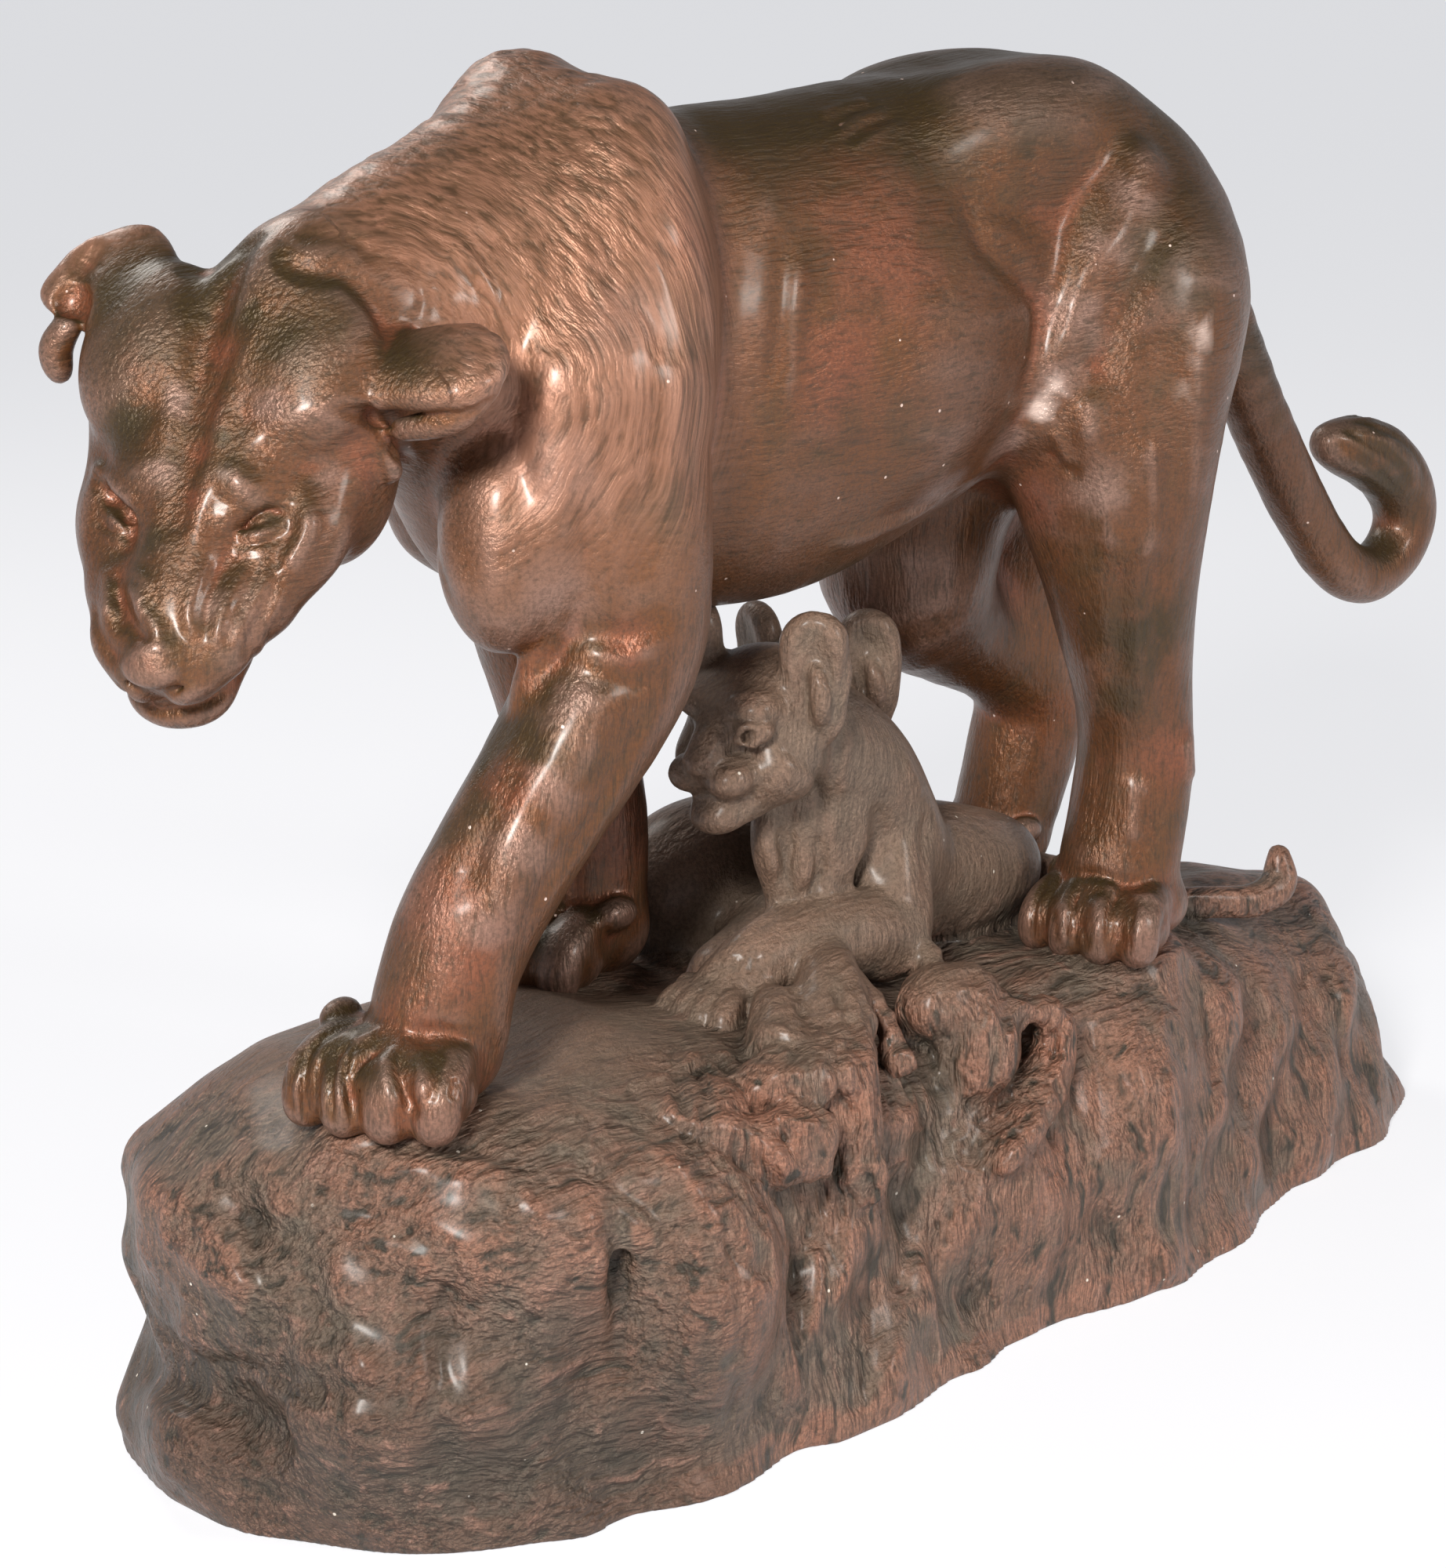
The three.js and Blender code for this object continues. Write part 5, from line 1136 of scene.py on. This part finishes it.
# Ridges and grooves of the rock: the gnarled folds, runnels and boulders along the near side
ROCK_LINES = [
    (4, 10, (-442, -83, 217), (-421, -113, 222), (-392, -146, 212), (-380, -172, 192)),
    (-3.5, 8, (-454, -82, 199), (-443, -112, 197), (-431, -144, 180), (-419, -150, 154)),
    (-3, 8, (-483, -11, 199), (-478, -34, 185), (-469, -73, 184)),
    (3, 9, (-500, -3, 182), (-494, -32, 169), (-477, -67, 166)),
    (-5, 10, (-486, 59, 91), (-494, -28, 98), (-488, -107, 109), (-460, -143, 103)),
    (-4, 9, (-357, -147, 222), (-333, -168, 212), (-304, -189, 181), (-302, -199, 154)),
    (4, 9, (-326, -133, 229), (-300, -151, 217), (-280, -182, 197), (-275, -204, 168)),
    (-4, 8, (-202, -188, 182), (-165, -165, 126), (-196, -182, 89), (-186, -186, 47)),
    (4, 9, (-174, -187, 185), (-135, -165, 123), (-159, -180, 78)),
    (-4, 8, (-74, -150, 138), (-66, -156, 95), (-95, -171, 67)),
    (-4.5, 12, (-483, -40, 174), (-493, -66, 132), (-496, -63, 74), (-499, -53, 32)),
    (-4, 10, (-432, -138, 183), (-427, -142, 135), (-446, -153, 97), (-432, -148, 52)),
    (-3.5, 9, (-354, -183, 193), (-326, -172, 134), (-327, -179, 78)),
    (-3.5, 10, (-113, -168, 81), (-121, -182, 46), (-151, -192, 17)),
    (-3.5, 9, (15, -169, 66), (31, -163, 16)),
    (4, 16, (-462, -99, 171), (-475, -120, 124), (-482, -112, 66)),
    (4, 16, (-505, -1, 144), (-495, 23, 85)),
    (3.5, 14, (-390, -170, 161), (-379, -170, 101), (-378, -162, 54)),
    (-5, 12, (-467, 113, 51), (-503, 6, 81), (-498, -48, 103)),
    (3, 14, (-421, -113, 220), (-405, -135, 217)),
    (-2.5, 6, (-448, -70, 225), (-433, -86, 235), (-402, -113, 233), (-379, -132, 228)),
    (-2.5, 6, (-362, -119, 235), (-322, -136, 234), (-293, -158, 218)),
    (2.5, 8, (-292, -195, 179), (-296, -206, 135), (-300, -197, 85)),
    (-3, 7, (-268, -203, 175), (-269, -217, 131), (-264, -205, 76)),
    (2.5, 7, (-208, -187, 124), (-203, -189, 73), (-209, -183, 32)),
    (-3, 7, (-26, -152, 126), (-47, -158, 80), (-43, -169, 35)),
    (2.5, 8, (57, -164, 107), (67, -164, 50)),
    (-2.5, 7, (132, -172, 100), (143, -172, 42)),
    (3, 5, (-172, -104, 231), (-160, -117, 245), (-150, -139, 248), (-126, -147, 243), (-130, -170, 233),
     (-128, -178, 206)),
    (-3, 5, (-173, -111, 229), (-164, -128, 242), (-152, -154, 245), (-142, -167, 240)),
    (-4, 5, (-75, -90, 276), (-101, -132, 260), (-110, -154, 246), (-139, -167, 239), (-138, -172, 202),
     (-134, -178, 183)),
    (3, 5, (-65, -100, 274), (-84, -138, 253), (-66, -135, 219), (-66, -153, 203), (-61, -157, 201)),
    (-2.5, 4, (-80, -131, 257), (-91, -152, 241), (-69, -147, 210), (-66, -160, 198)),
    (3, 5, (-226, -118, 229), (-206, -104, 235), (-186, -105, 233), (-173, -111, 229)),
    (-3, 4, (-235, -127, 229), (-212, -115, 230), (-234, -151, 235), (-243, -164, 229)),
    (3, 4, (-268, -119, 235), (-251, -115, 235), (-240, -120, 231), (-263, -150, 233), (-256, -165, 223),
     (-243, -173, 215)),
    (-3, 5, (-272, -125, 233), (-272, -150, 228), (-256, -165, 216), (-233, -173, 203)),
    (3, 5, (-217, -175, 218), (-198, -175, 221), (-190, -186, 214), (-160, -162, 181), (-187, -199, 182)),
    (-5, 4, (-202, -182, 211), (-198, -185, 200), (-194, -193, 189), (-189, -199, 182)),
    (2.5, 5, (-223, -178, 211), (-208, -179, 194), (-200, -190, 180), (-188, -197, 175)),
    (-4, 6, (-194, -165, 167), (-183, -167, 140), (-174, -174, 116), (-180, -187, 93), (-190, -193, 68)),
    (3, 7, (-179, -200, 173), (-141, -183, 124), (-137, -192, 96), (-118, -196, 70)),
    (-3, 5, (-146, -191, 84), (-141, -192, 70), (-137, -195, 63)),
    (-3, 5, (-121, -190, 81), (-119, -195, 70), (-127, -200, 57)),
    (3, 5, (-26, -175, 142), (-20, -182, 123), (-10, -192, 113), (-6, -199, 103)),
    (-3, 5, (-29, -175, 136), (-23, -181, 118), (-14, -190, 106)),
    (3, 5, (-13, -132, 242), (4, -139, 242), (16, -144, 236), (16, -150, 222), (4, -152, 206)),
    (-3, 5, (-20, -132, 236), (-11, -140, 226), (-5, -138, 205), (-33, -148, 201)),
    (3, 5, (21, -149, 224), (47, -142, 226), (61, -146, 213), (81, -135, 188), (57, -156, 179)),
    (-3, 5, (13, -154, 217), (13, -160, 201), (13, -157, 180)),
    (3, 4, (82, -133, 190), (77, -151, 198), (79, -157, 187), (71, -163, 175), (48, -174, 165)),
    (-4, 4, (85, -136, 186), (85, -141, 179), (63, -159, 183)),
    (3, 5, (47, -172, 165), (29, -175, 155), (7, -183, 143), (-3, -188, 132)),
    (-3, 4, (34, -177, 160), (17, -181, 150), (1, -190, 139)),
    (3, 5, (55, -177, 165), (30, -190, 154), (37, -191, 132)),
    (-4, 6, (-125, -185, 169), (-126, -184, 144), (-123, -190, 121), (-90, -178, 84), (-65, -181, 67)),
    (3, 6, (-125, -182, 182), (-81, -175, 179), (-48, -176, 158), (-29, -175, 136), (-19, -186, 103),
     (-23, -191, 79)),
    (-3, 7, (-331, -175, 202), (-335, -183, 183), (-329, -172, 150), (-329, -176, 123), (-333, -174, 96)),
    (3, 8, (-353, -175, 199), (-351, -181, 182), (-346, -182, 158)),
    (-3, 6, (-272, -204, 171), (-259, -212, 149), (-239, -211, 138)),
    (-3, 7, (-278, -210, 100), (-258, -205, 69), (-252, -192, 39)),
    (2.5, 6, (-180, -164, 153), (-172, -168, 128), (-162, -178, 114), (-173, -189, 87), (-184, -193, 57)),
    (3, 7, (-433, -100, 220), (-409, -113, 226), (-392, -133, 222), (-381, -160, 208)),
    (-3, 6, (-387, -142, 219), (-390, -164, 198), (-390, -171, 171)),
    (-4, 8, (-480, 94, 119), (-494, 56, 94), (-503, -2, 86)),
    (3, 8, (-498, 37, 170), (-504, -15, 158), (-496, -56, 153)),
    (-3, 8, (-471, -26, 209), (-490, -42, 171), (-495, -60, 130)),
    (3, 9, (-462, -85, 185), (-468, -98, 143), (-473, -130, 107)),
    (-3, 8, (-433, -140, 174), (-437, -143, 129), (-430, -161, 95)),
    (-3, 7, (135, -133, 187), (111, -162, 146), (57, -197, 116)),
    (3, 8, (167, -140, 192), (144, -174, 152), (123, -187, 106)),
    (-3, 7, (258, -118, 182), (262, -138, 130), (222, -165, 85)),
    (3, 8, (361, -83, 156), (370, -106, 113), (378, -109, 65)),
    (-3, 7, (459, -63, 141), (460, -85, 104), (466, -90, 56))
]

# The near cub: its cheek and throat, the hair on its chest, and its toes
CUB_LINES = [
    (-3, 4, (-100, -75, 405), (-86, -83, 393), (-50, -60, 361), (-45, -58, 337)),
    (3, 6, (-80, -37, 344), (-78, -42, 327), (-72, -42, 307)),
    (-4, 5, (-72, -45, 340), (-66, -45, 320), (-65, -46, 302)),
    (3, 6, (-59, -47, 338), (-57, -51, 320), (-54, -52, 301)),
    (-3, 5, (-49, -56, 333), (-45, -56, 314), (-46, -53, 299)),
    (2.5, 7, (-35, -69, 401), (-42, -70, 380), (-32, -63, 354)),
    (-2.5, 8, (-7, -64, 344), (12, -58, 321), (6, -61, 299)),
    (-3, 7, (52, -57, 327), (40, -66, 303), (30, -76, 279)),
    (2, 8, (24, -61, 366), (45, -58, 342)),
    (1.5, 3, (-121, -53, 433), (-114, -62, 437), (-105, -72, 434)),
    (-1.5, 3, (-122, -71, 408), (-126, -62, 396), (-138, -57, 395)),
    (2, 6, (-69, -39, 292), (-96, -45, 281), (-121, -51, 269)),
    (-2.5, 4, (-126, -50, 266), (-137, -55, 256)),
    (-2.5, 4, (-117, -56, 270), (-129, -61, 257)),
    (-2.5, 4, (-107, -62, 271), (-117, -66, 258))
]

# The rock is worked with ridges that wander down its sides and along its top
warp = np.stack([grain(points / 60, seed) for seed in (4, 5, 6)], 1)
side_folds = grain(points / (26, 26, 85) + 0.9 * warp, seed=7)
side_ridges = 1 - 2 * np.abs(grain(points / (13, 13, 60) + 1.2 * warp, seed=9))
top_folds = grain(points / (75, 24, 24) + 0.9 * warp, seed=8)
front = ramp(-x, 210, 310)
level = np.maximum(ramp(facing[:, 2], 0.35, 0.8), 0.9 * front)
relief = (2.4 * side_folds + 0.9 * side_ridges) * (1 - level) + 2 * top_folds * level
relief *= 1 - calm(points)
gnarled = ramp(-y, 70, 110) * ramp(x, -300, -250) * ramp(-x, -130, -80) * ramp(z, 90, 140)
knots = 1 - 2 * np.abs(grain(points / (11, 11, 26) + 1.6 * warp, seed=10))
relief += 2.4 * gnarled * knots
relief += 1.1 * drawn(points, facing, ROCK_LINES) + drawn(points, facing, CUB_LINES)
relief *= ramp(z, 2, 14)
finish_skin(rock, relief)
points, _ = skin(rock)
mark_skin(rock, "calm", calm(points))
front = ramp(-points[:, 0], 200, 310)
mark_skin(rock, "front", front)
# The lower part of the front boulder, under its overhang, is marked for painted shade
mark_skin(rock, "dark", front * (1 - ramp(points[:, 2], 70, 190)))
mark_skin(rock, "hollow", hollows(rock, rounds=34))
mark_skin(rock, "red", stain_and_light_spots(points, [
    (-118, -160, 205, 40), (-60, -110, 245, 30), (20, -120, 240, 40), (-200, -160, 210, 36),
    (80, -150, 190, 30), (-40, -180, 80, 34), (-330, -170, 90, 40), (150, -140, 150, 50),
    (300, -110, 150, 50), (400, -90, 160, 50), (30, -80, 280, 26), (-440, -60, 150, 40),
    (-250, -180, 120, 36), (60, -170, 110, 34)]))
mark_skin(rock, "chalk", stain_and_light_spots(points, [
    (-20, -182, 84, 5), (-22, -180, 66, 6), (-20, -180, 46, 5), (-150, -198, 30, 8), (-260, -190, 60, 6)]))

rock_bronze, where, look, hollow, upward = start_bronze("rock_bronze")
tree = rock_bronze.node_tree
level = maths(tree, (-800, -850), "MAXIMUM", levels(tree, (-900, -850), upward, 0.3, 0.7),
              read_mark(tree, (-1000, -950), "front").outputs["Fac"])
fine = mix_colour(tree, (-700, -900), level,
                  add_group(tree, (-1000, -800), strokes, Place=where, Closeness=(210, 210, 50)).outputs[0],
                  add_group(tree, (-1000, -1000), strokes, Place=where, Closeness=(50, 210, 210)).outputs[0])
broad = mix_colour(tree, (-700, -1300), level,
                   add_group(tree, (-1000, -1200), strokes, Place=where, Closeness=(80, 80, 18)).outputs[0],
                   add_group(tree, (-1000, -1400), strokes, Place=where, Closeness=(18, 80, 80)).outputs[0])
wild = maths(tree, (-650, -1500), "SUBTRACT", 1.35, read_mark(tree, (-800, -1500), "calm").outputs["Fac"])
furrows = maths(tree, (-550, -1300), "MULTIPLY", maths(tree, (-600, -1200), "MULTIPLY", broad, 1.8), wild)
ticks = maths(tree, (-550, -1100), "MULTIPLY", fine, maths(tree, (-650, -1100), "ADD", wild, 0.35))
worked = maths(tree, (-400, -1000), "ADD", ticks, furrows)
red = maths(tree, (-750, -420), "MAXIMUM", levels(tree, (-900, -350), hollow, -0.15, -0.7, 0, 0.75),
            read_mark(tree, (-1100, -450), "red").outputs["Fac"])
colour = mix_colour(tree, (-700, 200), levels(tree, (-900, 100), look.outputs["Patches"], 0.4, 0.6),
                    (0.165, 0.112, 0.082, 1), (0.235, 0.122, 0.082, 1))
colour = mix_colour(tree, (-600, 200), levels(tree, (-700, -200), look.outputs["Clouds"], 0.42, 0.7, 0, 0.7),
                    colour, (0.140, 0.120, 0.090, 1))
colour = mix_colour(tree, (-500, 200), maths(tree, (-600, 300), "MULTIPLY", red, 0.6), colour,
                    (0.370, 0.160, 0.100, 1))
# The hollows of the rock darken nearly to black: dark patina settled in them, and painted shade in the
# crevices
colour = mix_colour(tree, (-400, 200), levels(tree, (-700, -500), hollow, 0.15, 0.9, 0, 0.7), colour,
                    (0.038, 0.031, 0.022, 1))
# Painted shade on the lower part of the front boulder, under its overhang
shade = maths(tree, (-450, 450), "MULTIPLY", read_mark(tree, (-700, 550), "dark").outputs["Fac"], 0.7)
colour = mix_colour(tree, (-350, 200), shade, colour, (0.062, 0.048, 0.036, 1))
calmed = maths(tree, (-500, 400), "MULTIPLY", read_mark(tree, (-700, 400), "calm").outputs["Fac"], 0.75)
colour = mix_colour(tree, (-300, 200), calmed, colour, (0.178, 0.124, 0.088, 1))
colour = mix_colour(tree, (-250, 50), maths(tree, (-320, 0), "MULTIPLY", wild, levels(
    tree, (-400, 50), fine, 0.48, 0.3, 0, 0.5)), colour, (0.050, 0.038, 0.028, 1))
colour = mix_colour(tree, (-200, 50), maths(tree, (-320, -50), "MULTIPLY", wild, levels(
    tree, (-400, -50), broad, 0.47, 0.28, 0, 0.85)), colour, (0.055, 0.044, 0.032, 1))
colour = mix_colour(tree, (-180, 50), maths(tree, (-320, -150), "MULTIPLY", wild, levels(
    tree, (-400, -150), broad, 0.55, 0.75, 0, 0.5)), colour, (0.300, 0.165, 0.120, 1))
colour = mix_colour(tree, (-150, 200), levels(tree, (-700, -700), look.outputs["Grain"], 0.42, 0.62, 0, 0.45),
                    colour, (0.040, 0.030, 0.022, 1))
colour = mix_colour(tree, (0, 200), levels(tree, (-700, -800), look.outputs["Grain"], 0.58, 0.75, 0, 0.4),
                    colour, (0.34, 0.21, 0.155, 1))
chalk = maths(tree, (0, 350), "MAXIMUM", look.outputs["Specks"],
              read_mark(tree, (-300, 450), "chalk").outputs["Fac"])
colour = mix_colour(tree, (200, 200), chalk, colour, (0.66, 0.60, 0.52, 1))
finish_bronze(rock_bronze, look, colour, worked, metal=0.3, coat=0.26, roughness=(0.38, 0.56),
              strength=1, height=0.0042, grit=0.35)
rock.data.materials.append(rock_bronze)
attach(rock, "root")
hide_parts("rock_with_cubs")


# The studio: a pale floor without an edge, and soft boxes
bpy.ops.mesh.primitive_plane_add(size=80)
floor = bpy.context.object
floor.name = "studio_floor"
paper = bpy.data.materials.new("studio_paper")
paper.use_nodes = True
paper.node_tree.nodes["Principled BSDF"].inputs["Base Color"].default_value = (0.3, 0.3, 0.31, 1)
paper.node_tree.nodes["Principled BSDF"].inputs["Roughness"].default_value = 0.9
paper.node_tree.nodes["Principled BSDF"].inputs["Emission Color"].default_value = (0.93, 0.94, 0.97, 1)
paper.node_tree.nodes["Principled BSDF"].inputs["Emission Strength"].default_value = 0.7
floor.data.materials.append(paper)
world = bpy.data.worlds.new("studio_air")
world.use_nodes = True
tree = world.node_tree
skyward = node(tree, "ShaderNodeSeparateXYZ", (-500, 0))
tree.links.new(node(tree, "ShaderNodeTexCoord", (-700, 0)).outputs["Generated"], skyward.inputs[0])
dusk = mix_colour(tree, (-200, 0), levels(tree, (-350, 0), skyward.outputs["Z"], 0.05, 0.7),
                  (0.50, 0.50, 0.52, 1), (0.07, 0.07, 0.075, 1))
tree.links.new(dusk, tree.nodes["Background"].inputs["Color"])
bpy.context.scene.world = world
bpy.context.scene.view_settings.view_transform = "Standard"


def soft_box(name, place, size, watts):
    lamp = bpy.data.lights.new(name, "AREA")
    lamp.shape = "DISK"
    lamp.size = size
    lamp.energy = watts
    lamp.color = (1, 0.965, 0.92)
    box = bpy.data.objects.new(name, lamp)
    bpy.context.scene.collection.objects.link(box)
    box.location = place
    box.rotation_mode = "QUATERNION"
    box.rotation_quaternion = (Vector(place) - Vector((0, 0, 0.4))).to_track_quat("Z", "Y")


soft_box("left_box", (-2.5, -1.5, 2.0), 0.6, 150)
soft_box("right_box", (1.0, -2.9, 1.7), 0.7, 46)
soft_box("back_box", (0.2, 2.4, 2.4), 1.2, 30)
